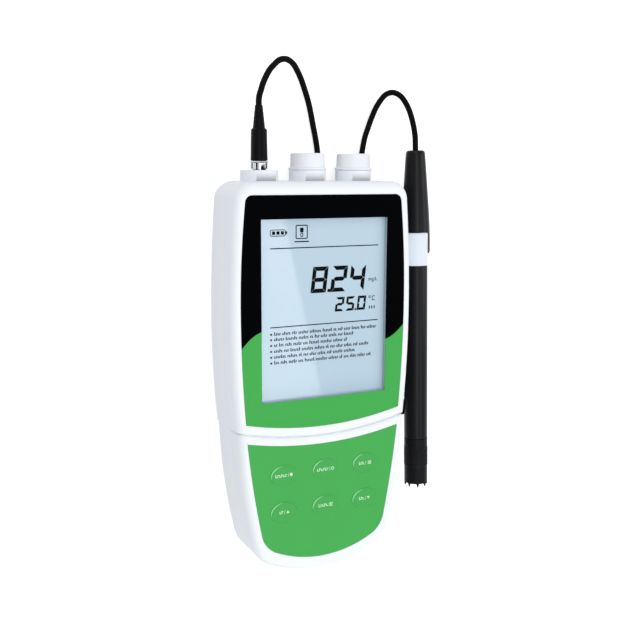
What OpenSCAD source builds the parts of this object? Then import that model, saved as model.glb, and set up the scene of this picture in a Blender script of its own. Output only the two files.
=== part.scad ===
// Portable dissolved oxygen meter with its probe clipped to the side, in millimetres.
// The meter lies on its back: Z = 0 is the flat back, +Z is out of the front face,
// +Y runs to the connector end and +X to the side that carries the probe.
// The origin is the centre of the case's back.

/* [Case] */
// Length of the case along Y
case_l = 170; // [160:1:180]
// Width of the case at its widest
case_w = 85; // [83:1:90]
// Thickness of the case
case_t = 30; // [30:0.5:34]
// Wall of the shells
wall = 2.4; // [2.2:0.1:2.6]
// Height of the rear shell, up to the parting line
parting_z = 20.5; // [20.5:0.1:21]
// Radius of the edge round the front face
front_r = 3.5; // [2.5:0.5:4]
// Radius of the edge round the back
back_r = 7; // [5:0.5:7.5]
// Corner radius at the connector end
top_corner_r = 8; // [6:0.5:10]
// Corner radius at the keypad end
low_corner_r = 14; // [12:0.5:16]
// Radius of the curved keypad end
low_end_r = 58; // [54:1:64]
// Radius of the joint line between display and keypad sections
seam_r = 160; // [150:2:180]
// Distance of that joint line from the keypad end, on the centre line
seam_from_end = 62; // [60:0.5:64]
// How much narrower each side of the keypad section is at its widest
keypad_inset = 2.6; // [2.4:0.1:3]
// Gap that shows as the joint line between the front shells
seam_gap = 0.5; // [0.3:0.1:0.8]
// Length of the sloping face under the connector end
slope_l = 14; // [12:0.5:15]
// Height of that sloping face
slope_h = 7; // [6:0.5:7.5]

/* [Display] */
// Distance of the window from the case's widest place on each side
window_border = 13.1; // [12.6:0.1:15]
// Height of the window over the display
window_h = 76.3; // [70:0.5:77]
// Distance of the window from the connector end
window_from_top = 15.2; // [14:0.2:17]
// Thickness of the printed film on the front
film_t = 0.35; // [0.25:0.05:0.5]
// White border beside the film at the case's widest
film_border = 4.1; // [3.8:0.1:5]
// White border above the film
film_top_border = 5.5; // [5:0.1:7]
// Border between the film and the joint line
film_seam_border = 4; // [3:0.2:5]
// Thickness of the display glass
glass_t = 2; // [1.6:0.1:2.2]
// Thickness of the backlight plate
backlight_t = 2.9; // [2.5:0.1:3]

/* [Keypad] */
// Length of a key's oval
key_l = 12.6; // [11:0.2:14]
// Height of a key's oval
key_h = 9.4; // [8:0.2:10.5]
// Distance between key columns
key_pitch_x = 19.7; // [18:0.1:20.5]
// Distance between key rows
key_pitch_y = 16.4; // [15:0.1:18]
// Distance of the upper row from the keypad end
key_row_from_end = 46.3; // [45:0.1:48]
// Travel of a key
key_travel = 0.4; // [0.3:0.05:0.45]
// How far a key's dome stands above the film
key_rise = 0.3; // [0.2:0.05:0.4]

/* [Connectors] */
// Distance between the three ports
port_pitch = 22.4; // [20:0.1:23.5]
// Height of the ports' axes above the back
port_z = 11.5; // [11.5:0.1:12]
// Outer radius of a port's collar
collar_r = 8; // [7.8:0.05:8]
// Height of a collar above the end of the case
collar_h = 4.4; // [4:0.1:5]
// Radius of the hollow inside a collar
collar_bore_r = 6.4; // [6:0.1:6.5]
// Outer radius of the probe jack's barrel
jack_r = 2.8; // [2.5:0.05:3]
// Outer radius of the bayonet sleeve
sleeve_r = 3.5; // [3.4:0.05:3.8]
// Visible length of the bayonet sleeve
sleeve_l = 6.9; // [6.5:0.1:8]
// Radius of the plug's barrel where it meets the sleeve
plug_r = 3.45; // [3.2:0.05:3.6]
// Length of the plug's barrel
plug_l = 13.1; // [12:0.1:15]
// Length of the strain relief
boot_l = 9.5; // [8:0.5:12]
// Radius of a dust cap above its rim
cap_r = 7; // [6.9:0.05:7.3]
// Height of a dust cap above its collar
cap_h = 7.2; // [6.8:0.1:9]
// Radius of the probe's cable
cable_r = 1.3; // [1.2:0.05:1.3]

/* [Probe] */
// Radius of the probe's shaft
shaft_r = 5.5; // [5:0.1:5.7]
// Length of the probe's shaft below its handle
shaft_l = 87.4; // [84:0.1:92]
// Largest radius of the handle
handle_r = 6.6; // [6.4:0.05:6.7]
// Length of the handle above its shoulder
handle_l = 46.5; // [44:0.5:50]
// Length of the membrane cap
cap_l = 24; // [22:0.5:26]
// Gap between the probe's handle and the side of the case
probe_gap = 4.91; // [4.7:0.01:5.5]
// Height of the probe's axis above the back
probe_z = 15; // [15:0.1:16]
// Lean of the probe, along the curved side of the case
probe_lean = 1.6; // [1:0.1:2]

/* [Clip] */
// Distance of the clip's middle from the connector end
clip_from_top = 30.5; // [30:0.5:32]
// Length of the clip along the probe
clip_l = 14.8; // [13:0.2:16]
// Wall of the clip
clip_wall = 1.9; // [1.6:0.1:2]
// Depth of the clip's foot in the side of the case
foot_depth = 1.2; // [1:0.1:1.4]

/* [Battery bay] */
// Radius of a cell
cell_r = 7.1; // [6.9:0.05:7.15]
// Length of a cell with its pole
cell_l = 50.5; // [49.5:0.1:50.5]
// Distance between neighbouring cells
cell_pitch = 15; // [14.8:0.1:15.2]
// Thickness of the sliding battery door
door_t = 2; // [1.8:0.1:2.1]

/* [Hidden] */

$fn = 64;
eps = 0.01;
white = [0.93, 0.93, 0.95];
green = [0.29, 0.69, 0.34];
black = [0.06, 0.06, 0.07];
steel = [0.75, 0.75, 0.77];
brass = [0.8, 0.66, 0.35];

// Places along Y
top_y = case_l / 2;
low_y = -case_l / 2;
belly_y = top_y - 58;
seam_y = low_y + seam_from_end;
seam_c = seam_y + seam_r;

// Radii of the long curved sides, and the height of the keypad section's widest place
side_up_r = 619;
side_down_r = 487;
keypad_side_r = 277;
keypad_wide_y = low_y + 75.7;
half_w = case_w / 2;
keypad_half_w = half_w - keypad_inset;

// Heights through the case
roof_z = case_t - wall;
fit = 0.1;
film_recess = film_t + 0.05;
film_z = case_t - film_recess;
glass_top = roof_z - fit;
glass_z = glass_top - glass_t;
backlight_z = glass_z - fit - backlight_t;
lcd_frame_floor = 1;
lcd_frame_z = backlight_z - fit - lcd_frame_floor;
board_t = 1.6;
board_z = lcd_frame_z - fit - board_t;
keypad_board_z = roof_z - 5.2;
ribbon_t = 0.3;
ribbon_w = 16;
edge_steps = 5;

// Display and its carriers, measured from the window
window_w = case_w - 2 * window_border;
window_y = top_y - window_from_top - window_h / 2;
glass_w = window_w + 2.8;
glass_h = window_h + 3;
lcd_frame_w = glass_w + 2.4;
lcd_frame_h = glass_h + 4;
board_lip = 2;
board_tail = 4.7;
board_h = lcd_frame_h + board_lip + board_tail;
board_top_y = window_y + lcd_frame_h / 2 + board_lip;
board_y = board_top_y - board_h / 2;
board_w = lcd_frame_w + 8;

// Outlines of the printed films, drawn in from the case
film_half_w = half_w - film_border;
film_up_r = 420;
film_down_r = 596;
film_belly_y = belly_y + 6;
film_corner_r = 3;
film_low_half_w = keypad_half_w - 1.8;
film_low_side_r = 427;
film_low_wide_y = low_y + 105;
film_low_corner_r = 12;
film_low_end_r = 52;
film_low_border = 6.7;

// Places of screws, keyed to the walls that carry them
screw_r = 1.5;
screw_head_r = 2.7;
screw_head_h = 2;
boss_r = 4;
post_r = 3.6;
boss_wall = 5.4;
screw_seat_z = 12;
board_screw_r = 0.75;
board_screw_head_r = 1.8;
board_screw_head_h = 1.2;
board_screw_l = 8;
board_post_r = 2.5;
board_post_inset = 5;
board_post_pitch = 68;
display_screw_y = [top_y - 25, seam_y + 15];
keypad_screw_y = low_y + 25;

// Battery bay
bay_x = 1.5 * cell_pitch + 0.7;
bay_wall = 1.4;
spring_l = 5;
plate_t = 0.4;
plate_half = cell_r - 1.6;
bay_l = cell_l + spring_l + 2 * plate_t + 0.3;
bay_top = seam_y + 9;
bay_low = bay_top - bay_l;
door_gap = 0.25;
cell_z = door_gap + door_t + 0.4 + cell_r;
bay_ceiling = cell_z + cell_r + 0.6;
door_w = 2 * bay_x - 0.4;
tongue_w = 1.2;
tongue_t = 0.8;
rail_floor = 4.4;

// Connector end
panel_y = top_y - wall;
port_x = [-port_pitch, 0, port_pitch];
collar_top = top_y + collar_h;
sleeve_end = collar_top + sleeve_l - 3;
sleeve_start = top_y + 1.4;
lug_y = sleeve_start + 3;
lug_r = 0.5;
plug_start = sleeve_end + fit;
plug_end = plug_start + plug_l;
plug_tip_r = plug_r - 0.4;
boot_r = 2.25;
boot_tip_r = cable_r + 0.35;
rim_h = 1;
cap_end = collar_top + cap_h;

// Probe and clip
clip_y = top_y - clip_from_top;
probe_x = side_x(clip_y) + probe_gap + handle_r;
handle_play = 0.15;
shaft_play = 0.3;
clip_r = handle_r + clip_wall + handle_play;
shoulder_s = -2.5;
shaft_end_s = shoulder_s - shaft_l;
tip_s = shaft_end_s - cap_l;
spigot_l = 7;
spigot_r = shaft_r - 1;
core_r = 3;

// Cable route, from the strain relief to the hank and from the hank to the handle.
// Each point is [x, y, z].
route_out = [[-22.4, 116, 11.5], [-22.4, 118, 11.5], [-22.2, 120, 11.8], [-21.6, 122, 12], [-20.5, 125, 11.8],
    [-18.8, 128, 11.2], [-16.8, 130.8, 10.5], [-14.4, 133, 9.8], [-12, 134.8, 9],
    [-9, 135.5, 8.2], [-6.4, 135, 7.2], [-4, 133.6, 6.2], [-1.8, 131, 5.3], [0.2, 128, 4.5],
    [2.4, 123.6, 3.6], [4.4, 119, 2.8], [6, 114, 2.2], [7.4, 108.6, 1.7], [8.8, 103, 1.4],
    [9.8, 97, 1.3], [10.2, 90, 1.3], [10.6, 86, 1.3], [12.3, 82, 1.3], [15, 79.8, 1.3],
    [19, 79, 1.3], [26, 79, 1.3], [34, 79, 1.3], [42, 79, 1.3], [46, 78.4, 1.3],
    [49.2, 76, 1.3], [50.6, 72.5, 1.3], [51, 66, 1.3], [50.2, 58, 1.3], [48.4, 50, 1.3],
    [46.6, 43, 1.3], [45.4, 37, 1.3], [45, 32, 1.3]];
route_back = [[63.4, 32, 6.5], [63, 36, 6.2], [61.6, 42, 4.6], [59.4, 48, 2.8],
    [57, 54, 1.6], [55.2, 60, 1.3], [54.2, 67, 1.3], [53.7, 73, 1.3], [52.2, 77.4, 1.3],
    [49.4, 80.6, 1.3], [45.6, 82, 1.3], [41, 82.3, 1.3], [37.4, 82.8, 1.3], [34.4, 84.6, 1.3],
    [32.6, 88, 1.3], [32, 92.4, 1.3], [32.3, 97.2, 1.3], [33.6, 103.8, 1.3],
    [35, 107.8, 1.4], [36.2, 111.4, 1.7], [37.4, 114.6, 2.1], [38.6, 117.6, 2.7],
    [40, 120.2, 3.5], [41.4, 122.4, 4.5], [43, 123.7, 5.7], [44.8, 124, 7],
    [46.6, 123.2, 8.4], [48.2, 121.4, 9.7], [49.5, 118.7, 11], [50.5, 115.5, 12.2],
    [51.2, 112, 13.2], [51.7, 108, 14.2], [52, 104.4, 14.8], [52.1, 101, 15],
    [52.17, 98.5, 15]];
hank_x = probe_x + 0.8;
hank_y = 6;
hank_w = 21;
hank_l = 65;
hank_h = 6 * cable_r + 0.2;
tie_l = 8;
tie_t = 0.8;

// Points of an arc about [cx, cy] from angle a0 to a1
function arc(cx, cy, r, a0, a1, n) =
    [for (i = [0:n]) let (a = a0 + (a1 - a0) * i / n) [cx + r * cos(a), cy + r * sin(a)]];

// The same outline on both sides of the Y axis
function both_sides(right) =
    concat(right, [for (i = [len(right) - 1:-1:0]) [-right[i][0], right[i][1]]]);

// The crossing of two circles, on the side away from the first one's left
function meet(p, rp, q, rq) =
    let (d = norm(q - p), a = (rp * rp - rq * rq + d * d) / (2 * d),
        h = sqrt(rp * rp - a * a), u = (q - p) / d)
    p + a * u + h * [u[1], -u[0]];

// Outline with square-set corners at the connector end, bellied sides and an arc of radius
// r_seam about the joint line's centre at its lower edge. d draws top and sides in by that much.
function display_outline(top, half, belly, r_up, r_down, r_corner, r_seam, d) =
    let (cx = half - r_up, cy = top - r_corner,
        kx = cx + sqrt(pow(r_up - r_corner, 2) - pow(cy - belly, 2)),
        a = asin((cy - belly) / (r_up - r_corner)),
        low = seam_c - sqrt(pow(r_seam, 2) - pow(half - 2, 2)),
        b = asin((belly - low) / (r_down - d)),
        side = arc(half - r_down, belly, r_down - d, 0, -b, 5),
        t = asin(side[5][0] / r_seam))
    both_sides(concat(
        arc(kx, cy, r_corner - d, 90, a, 8),
        arc(cx, belly, r_up - d, a, 0, 6),
        side,
        [for (i = [5:-1:0]) [r_seam * sin(t * i / 6), seam_c - r_seam * cos(t * i / 6)]]));

// Outline that narrows to a round keypad end
function keypad_outline(high, half, wide, r_side, r_corner, r_end, low, d) =
    let (side = [half - r_side, wide], bottom = [0, low + r_end],
        k = meet(side, r_side - r_corner, bottom, r_end - r_corner),
        a0 = asin((high - wide) / (r_side - d)),
        a1 = atan2(k[1] - side[1], k[0] - side[0]),
        a2 = atan2(k[1] - bottom[1], k[0] - bottom[0]))
    both_sides(concat(
        arc(side[0], side[1], r_side - d, a0, a1, 7),
        arc(k[0], k[1], r_corner - d, a1, a2, 7),
        arc(bottom[0], bottom[1], r_end - d, a2, -90, 6)));

// Outline of one section of the case, drawn in by d, its joint line moved down by past
function case_outline(section, d, past = 0) = section == "display"
    ? display_outline(top_y, half_w, belly_y, side_up_r, side_down_r, top_corner_r,
        seam_r + past, d)
    : keypad_outline(seam_y + 13, keypad_half_w, keypad_wide_y, keypad_side_r,
        low_corner_r, low_end_r, low_y, d);

// Half width of the case's display section at a place along Y
function side_x(y) = y > belly_y
    ? half_w - side_up_r + sqrt(pow(side_up_r, 2) - pow(y - belly_y, 2))
    : half_w - side_down_r + sqrt(pow(side_down_r, 2) - pow(y - belly_y, 2));

function keypad_side_x(y) =
    keypad_half_w - keypad_side_r + sqrt(pow(keypad_side_r, 2) - pow(y - keypad_wide_y, 2));

function ellipse(l, h) = [for (i = [0:39]) [l / 2 * cos(i * 9), h / 2 * sin(i * 9)]];

function key_place(i) =
    [(i % 3 - 1) * key_pitch_x, low_y + key_row_from_end - floor(i / 3) * key_pitch_y];

screw_places = concat(
    [for (y = display_screw_y) for (s = [-1, 1]) [s * (side_x(y) - boss_wall), y]],
    [for (s = [-1, 1]) [s * (keypad_side_x(keypad_screw_y) - boss_wall), keypad_screw_y]]);

// Solid with one section's outline, its back and front edges rounded
module section_form(section, z0, z1, r_back, r_front) {
    hull() {
        for (i = [0:edge_steps]) {
            a = 90 * i / edge_steps;
            if (r_back > 0) {
                translate([0, 0, z0 + r_back * (1 - sin(a))])
                    linear_extrude(eps) polygon(case_outline(section, r_back * (1 - cos(a))));
            }
            if (r_front > 0) {
                translate([0, 0, z1 - eps - r_front * (1 - sin(a))])
                    linear_extrude(eps) polygon(case_outline(section, r_front * (1 - cos(a))));
            }
        }
        if (r_back == 0) translate([0, 0, z0]) linear_extrude(eps) polygon(case_outline(section, 0));
        if (r_front == 0) {
            translate([0, 0, z1 - eps]) linear_extrude(eps) polygon(case_outline(section, 0));
        }
    }
}

module seam_cylinder(r, z0, z1) {
    translate([0, seam_c, z0]) cylinder(r = r, h = z1 - z0, $fn = 360);
}

// Everything outside the sloping face under the connector end, drawn in by d
module slope_cut(d) {
    a = atan2(slope_h, slope_l);
    translate([0, top_y - slope_l, 0]) rotate([a, 0, 0])
        translate([-case_w, -case_l / 4, -40 + d]) cube([2 * case_w, case_l, 40]);
}

module hollow(section, d, z0, z1) {
    translate([0, 0, z0]) linear_extrude(z1 - z0) polygon(case_outline(section, d, 2));
}

module along_y(x, y, z) {
    translate([x, y, z]) rotate([-90, 0, 0]) children();
}

module slab(x0, x1, y0, y1, z0, z1) {
    translate([x0, y0, z0]) cube([x1 - x0, y1 - y0, z1 - z0]);
}

module probe_frame() {
    translate([probe_x, clip_y, probe_z]) rotate([0, 0, probe_lean]) rotate([-90, 0, 0]) children();
}

// Rear shell: a deep tub with rounded back edges, three port collars and the battery bay.
module rear_case() {
    color(white) difference() {
        union() {
            difference() {
                union() {
                    section_form("display", 0, parting_z, back_r, 0);
                    section_form("keypad", 0, parting_z, back_r, 0);
                }
                slope_cut(0);
                difference() {
                    union() {
                        for (section = ["display", "keypad"]) {
                            hollow(section, 2 * wall, wall, case_t);
                            hollow(section, wall, wall + 2.6, case_t);
                        }
                    }
                    slope_cut(wall);
                }
            }
            for (x = port_x) along_y(x, top_y - 9, port_z) cylinder(r = collar_r, h = collar_h + 9);
            slab(-bay_x - bay_wall, bay_x + bay_wall, bay_low - bay_wall, bay_top + bay_wall,
                0.5, bay_ceiling + bay_wall);
            intersection() {
                slab(-bay_x - 3, bay_x + 3, low_y, bay_top + bay_wall, 1, rail_floor);
                hollow("keypad", 2 * wall - 0.3, 1, rail_floor);
            }
            for (p = screw_places) translate([p[0], p[1], 0]) {
                translate([0, 0, 2.2]) cylinder(r = boss_r - 0.6, h = 2);
                translate([0, 0, 3.4]) cylinder(r = boss_r, h = parting_z - 3.4);
            }
            for (p = board_posts) translate([p[0], p[1], 1.5]) cylinder(r = board_post_r, h = board_z - 1.5);
            slab(side_x(clip_y) - foot_depth - clip_screw_l - 1, side_x(clip_y) - 1,
                clip_y - clip_l / 2, clip_y + clip_l / 2, probe_z - 4, probe_z + 4);
        }
        for (x = port_x) {
            along_y(x, top_y - 12, port_z) cylinder(r = collar_bore_r, h = 12 - wall);
            along_y(x, top_y, port_z) cylinder(r = collar_bore_r, h = collar_h + 1);
        }
        along_y(port_x[0], panel_y - 1, port_z) cylinder(r = jack_r + 0.05, h = wall + 2);
        for (i = [1, 2]) along_y(port_x[i], panel_y - 1, port_z) cylinder(r = 4.05, h = wall + 2);
        slab(-bay_x, bay_x, bay_low, bay_top, -1, bay_ceiling);
        slab(-bay_x, bay_x, low_y - 1, bay_top, -1, door_gap + door_t + 0.15);
        slab(-bay_x - tongue_w, bay_x + tongue_w, low_y - 1, bay_top,
            door_gap + door_t - tongue_t - 0.1, door_gap + door_t + 0.15);
        for (p = screw_places) {
            translate([p[0], p[1], -1]) cylinder(r = screw_r + 0.1, h = case_t);
            translate([p[0], p[1], -1]) cylinder(r = screw_head_r + 0.2, h = screw_seat_z + 1);
        }
        for (p = board_posts) translate([p[0], p[1], 6]) cylinder(r = board_screw_r + 0.05, h = case_t);
        clip_foot(0.05);
        for (s = [-1, 1]) clip_screw_axis(s)
            translate([0, 0, -clip_screw_l - 0.3]) cylinder(r = board_screw_r + 0.05, h = clip_screw_l + 1);
        seal_ring(0.05, 0.1);
    }
}

board_posts = [for (y = [0, board_post_pitch]) for (s = [-1, 1])
    [s * (lcd_frame_w / 2 + board_screw_head_r + 0.2), board_top_y - board_post_inset - y]];

// Shared groove and bead of the gasket, widened by grow and deepened by deep
module seal_ring(grow, deep) {
    translate([0, 0, parting_z - 0.9 - deep]) linear_extrude(0.9 + deep + 0.05) difference() {
        union() {
            polygon(case_outline("display", 0.8 - grow));
            polygon(case_outline("keypad", 0.8 - grow));
        }
        polygon(case_outline("display", 1.6 + grow, -0.8));
        polygon(case_outline("keypad", 1.6 + grow));
    }
}

// Gasket in the rim of the rear shell, under both front shells
module case_seal() {
    color(black) intersection() {
        seal_ring(0, 0);
        slab(-case_w, case_w, low_y, top_y, 0, parting_z);
    }
}

// Front shell round the display
module display_case() {
    color(white) difference() {
        union() {
            difference() {
                section_form("display", parting_z, case_t, 0, front_r);
                hollow("display", wall, parting_z - 1, roof_z);
            }
            for (i = [0:3]) {
                translate([screw_places[i][0], screw_places[i][1], parting_z])
                    cylinder(r = post_r, h = roof_z - parting_z + 0.5);
            }
        }
        translate([0, 0, film_z]) linear_extrude(5) polygon(film_outline(-0.1));
        slab(-window_w / 2, window_w / 2, window_y - window_h / 2, window_y + window_h / 2, 0, 40);
        for (i = [0:3]) {
            translate([screw_places[i][0], screw_places[i][1], 0])
                cylinder(r = screw_r + 0.05, h = roof_z - 0.6);
        }
    }
}

function film_outline(d) = display_outline(top_y - film_top_border, film_half_w, film_belly_y,
    film_up_r, film_down_r, film_corner_r, seam_r - film_seam_border - d, d);

function keypad_film_outline(d) = keypad_outline(seam_y + 12, film_low_half_w, film_low_wide_y,
    film_low_side_r, film_low_corner_r, film_low_end_r, low_y + film_low_border, d);

// Front shell round the keypad, tucked under the display shell with a tongue
module keypad_case() {
    color(white) difference() {
        union() {
            difference() {
                section_form("keypad", parting_z, case_t, 0, front_r);
                seam_cylinder(seam_r + seam_gap, 0, case_t + 1);
                hollow("keypad", wall, parting_z - 1, roof_z);
            }
            intersection() {
                difference() {
                    seam_cylinder(seam_r + 3, roof_z - fit - 1.4, roof_z - fit);
                    seam_cylinder(seam_r - 3, 0, case_t);
                }
                slab(-half_w + 8, half_w - 8, low_y, top_y, 0, case_t);
            }
            difference() {
                intersection() {
                    seam_cylinder(seam_r + 3, roof_z - fit - 1.4, roof_z + 0.5);
                    slab(-half_w + 8, half_w - 8, low_y, top_y, 0, case_t);
                }
                seam_cylinder(seam_r + seam_gap, 0, case_t);
            }
            for (i = [4, 5]) {
                translate([screw_places[i][0], screw_places[i][1], parting_z])
                    cylinder(r = post_r, h = roof_z - parting_z + 0.5);
            }
            for (p = keypad_posts) {
                translate([p[0], p[1], keypad_board_z + board_t])
                    cylinder(r = 2, h = roof_z - keypad_board_z - board_t + 0.5);
            }
        }
        difference() {
            seam_cylinder(seam_r + seam_gap + 0.8, case_t - 0.5, case_t + 1);
            seam_cylinder(seam_r + seam_gap - 0.5, 0, case_t + 2);
        }
        translate([0, 0, film_z]) linear_extrude(5) difference() {
            polygon(keypad_film_outline(-0.1));
            translate([0, seam_c]) circle(r = seam_r + film_seam_border - 0.1, $fn = 360);
        }
        for (i = [0:5]) {
            translate([key_place(i)[0], key_place(i)[1], 0])
                linear_extrude(40) polygon(ellipse(key_l + 0.4, key_h + 0.4));
        }
        for (i = [4, 5]) {
            translate([screw_places[i][0], screw_places[i][1], 0])
                cylinder(r = screw_r + 0.05, h = roof_z - 0.6);
        }
        for (p = keypad_posts) translate([p[0], p[1], 0]) cylinder(r = board_screw_r + 0.05, h = roof_z - 0.8);
    }
}

// Each post's distance in from the keypad's widest place and from the keypad end
keypad_posts = [for (s = [-1, 1]) for (q = [[11.9, 40.5], [19.9, 21.5]])
    [s * (keypad_half_w - q[0]), low_y + q[1]]];

// Screws from the back into both front shells
module case_screws() {
    color(steel) for (p = screw_places) translate([p[0], p[1], 0]) {
        difference() {
            translate([0, 0, screw_seat_z - screw_head_h])
                cylinder(r = screw_head_r, h = screw_head_h);
            for (a = [0, 90]) rotate(a) slab(-1.6, 1.6, -0.35, 0.35, 0, screw_seat_z - 1.1);
        }
        translate([0, 0, screw_seat_z - eps]) cylinder(r = screw_r, h = roof_z - 1.2 - screw_seat_z);
    }
}

// Printed film round the display window, black above a green wave
module display_film() {
    color(black) translate([0, 0, film_z]) linear_extrude(film_t) difference() {
        polygon(film_outline(0));
        translate([0, window_y]) square([window_w, window_h], center = true);
    }
}

// Clear pane, flush with the film
module display_window() {
    color([0.8, 0.9, 0.95, 0.4])
        slab(-window_w / 2 + fit, window_w / 2 - fit, window_y - window_h / 2 + fit,
            window_y + window_h / 2 - fit, roof_z, case_t - 0.1);
}

module lcd_glass() {
    color([0.75, 0.84, 0.9]) translate([-glass_w / 2, window_y - glass_h / 2, glass_z])
        cube([glass_w, glass_h, glass_t]);
}

// Light guide with a row of lamps along its lower edge
module backlight() {
    color([0.95, 0.97, 1]) {
        slab(-glass_w / 2, glass_w / 2, window_y - glass_h / 2 + 2, window_y + glass_h / 2,
            backlight_z, backlight_z + backlight_t);
        for (i = [-2:2]) {
            slab(i * 10 - 1.5, i * 10 + 1.5, window_y - glass_h / 2, window_y - glass_h / 2 + 1.9,
                backlight_z, backlight_z + 2);
        }
    }
}

// Moulded tray that holds glass and backlight on the main board
module lcd_frame() {
    color([0.85, 0.85, 0.87]) difference() {
        translate([-lcd_frame_w / 2, window_y - lcd_frame_h / 2, lcd_frame_z])
            cube([lcd_frame_w, lcd_frame_h, glass_top - lcd_frame_z]);
        translate([-glass_w / 2 - fit, window_y - glass_h / 2 - fit, lcd_frame_z + lcd_frame_floor])
            cube([glass_w + 2 * fit, glass_h + 2 * fit, 20]);
        for (s = [-1, 1]) slab(glass_w * (0.23 * s - 0.13), glass_w * (0.23 * s + 0.13),
            window_y - 0.3 * glass_h, window_y + 0.3 * glass_h, 0, glass_z);
    }
}

// Main board on the posts, notched round the bosses of the case screws
module main_board() {
    color([0.12, 0.4, 0.22]) difference() {
        slab(-board_w / 2, board_w / 2, board_y - board_h / 2, board_y + board_h / 2,
            board_z, board_z + board_t);
        for (p = board_posts) translate([p[0], p[1], 0]) cylinder(r = board_screw_r + 0.35, h = case_t);
        for (p = screw_places) translate([p[0], p[1], 0]) cylinder(r = boss_r + 0.4, h = case_t);
    }
}

// Each chip's place as a share of the board, its two sides and its height
chips = [[0, 0, 12, 12, 1.6], [-0.25, 0.16, 8, 10, 1.5], [0.22, 0.22, 9, 6, 1.8],
    [-0.22, -0.2, 6, 6, 1.2]];
buzzer_r = 5;
buzzer_h = 6;

// Chips and a buzzer on the underside of the main board
module board_chips() {
    color([0.15, 0.15, 0.17]) {
        for (c = chips) {
            translate([c[0] * board_w - c[2] / 2, board_y + c[1] * board_h - c[3] / 2, board_z - c[4]])
                cube([c[2], c[3], c[4]]);
        }
        translate([0.28 * board_w, board_y - 0.18 * board_h, board_z - buzzer_h])
            cylinder(r = buzzer_r, h = buzzer_h);
    }
}

// Screws that hold the main board down on its posts
module board_screws() {
    z = board_z + board_t;
    color(steel) for (p = board_posts) translate([p[0], p[1], 0]) {
        translate([0, 0, z - board_screw_l]) cylinder(r = board_screw_r, h = board_screw_l + eps);
        translate([0, 0, z]) cylinder(r = board_screw_head_r, h = board_screw_head_h);
    }
}

// Flat ribbon from the top of the main board to the underside of the keypad board, hanging
// slack over the battery bay
module ribbon() {
    y0 = board_y - board_h / 2;
    z0 = board_z + board_t + 0.05;
    z1 = keypad_board_z - ribbon_t - 0.05;
    line = [[y0 + 4.4, z0], [y0 - 0.6, z0], [y0 - 4, z0 - 0.8], [y0 - 9, z0 - 0.9],
        [y0 - 14, z1 - 0.5], [y0 - 16.4, z1], [y0 - 21, z1]];
    color([0.85, 0.6, 0.3]) translate([-ribbon_w / 2, 0, 0]) rotate([90, 0, 90])
        linear_extrude(ribbon_w)
            polygon(concat(line, [for (i = [len(line) - 1:-1:0]) [line[i][0], line[i][1] + ribbon_t]]));
}

module keypad_film() {
    color(green) translate([0, 0, film_z]) linear_extrude(film_t) difference() {
        polygon(keypad_film_outline(0));
        translate([0, seam_c]) circle(r = seam_r + film_seam_border, $fn = 360);
        for (i = [0:5]) translate(key_place(i)) polygon(ellipse(key_l + 0.3, key_h + 0.3));
    }
}

// One key: an oval dome with a flange under the shell's roof and a stem over its switch
module key(i) {
    flange_z = roof_z - fit - 0.6;
    color(green) translate([key_place(i)[0], key_place(i)[1], 0]) {
        translate([0, 0, flange_z]) linear_extrude(0.6) polygon(ellipse(key_l + 1.6, key_h + 1.6));
        translate([0, 0, flange_z]) linear_extrude(case_t + key_rise - 0.25 - flange_z)
            polygon(ellipse(key_l, key_h));
        translate([0, 0, flange_z]) linear_extrude(case_t + key_rise - flange_z)
            polygon(ellipse(key_l - 1, key_h - 1));
        translate([0, 0, switch_top + key_travel + 0.1])
            cylinder(r = 1.8, h = flange_z - switch_top - key_travel);
    }
}
module key_1() { key(0); }
module key_2() { key(1); }
module key_3() { key(2); }
module key_4() { key(3); }
module key_5() { key(4); }
module key_6() { key(5); }

switch_top = keypad_board_z + board_t + 2.2;

module keypad_board() {
    color([0.12, 0.4, 0.22]) difference() {
        translate([0, 0, keypad_board_z]) linear_extrude(board_t) difference() {
            polygon(keypad_film_outline(1));
            translate([0, seam_c]) circle(r = seam_r + 7, $fn = 360);
        }
        for (p = keypad_posts) translate([p[0], p[1], 0]) cylinder(r = board_screw_r + 0.35, h = case_t);
        for (i = [4, 5]) {
            translate([screw_places[i][0], screw_places[i][1], 0])
                cylinder(r = boss_r + 0.4, h = case_t);
        }
    }
}

module key_switches() {
    z = keypad_board_z + board_t;
    color(black) for (i = [0:5]) translate([key_place(i)[0], key_place(i)[1], z]) {
        translate([-3, -3, 0]) cube([6, 6, 1.6]);
        translate([0, 0, 1.5]) cylinder(r = 1.7, h = switch_top - z - 1.5);
    }
}

module keypad_screws() {
    color(steel) for (p = keypad_posts) translate([p[0], p[1], 0]) {
        translate([0, 0, keypad_board_z - board_screw_head_h])
            cylinder(r = board_screw_head_r, h = board_screw_head_h);
        translate([0, 0, keypad_board_z - eps])
            cylinder(r = board_screw_r, h = roof_z - 1.2 - keypad_board_z);
    }
}

// Sliding door over the cells, with side tongues and a ribbed thumb grip
module battery_door() {
    color(white) difference() {
        intersection() {
            union() {
                slab(-door_w / 2, door_w / 2, low_y - 1, bay_top - 0.2, door_gap, door_gap + door_t);
                slab(-door_w / 2 - tongue_w, door_w / 2 + tongue_w, low_y - 1, bay_top - 0.2,
                    door_gap + door_t - tongue_t, door_gap + door_t);
            }
            section_form("keypad", 0, parting_z, back_r, 0);
        }
        for (i = [0:5]) slab(-9, 9, low_y + 14 + i * 2, low_y + 14.9 + i * 2, 0, door_gap + 0.6);
    }
}

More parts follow.
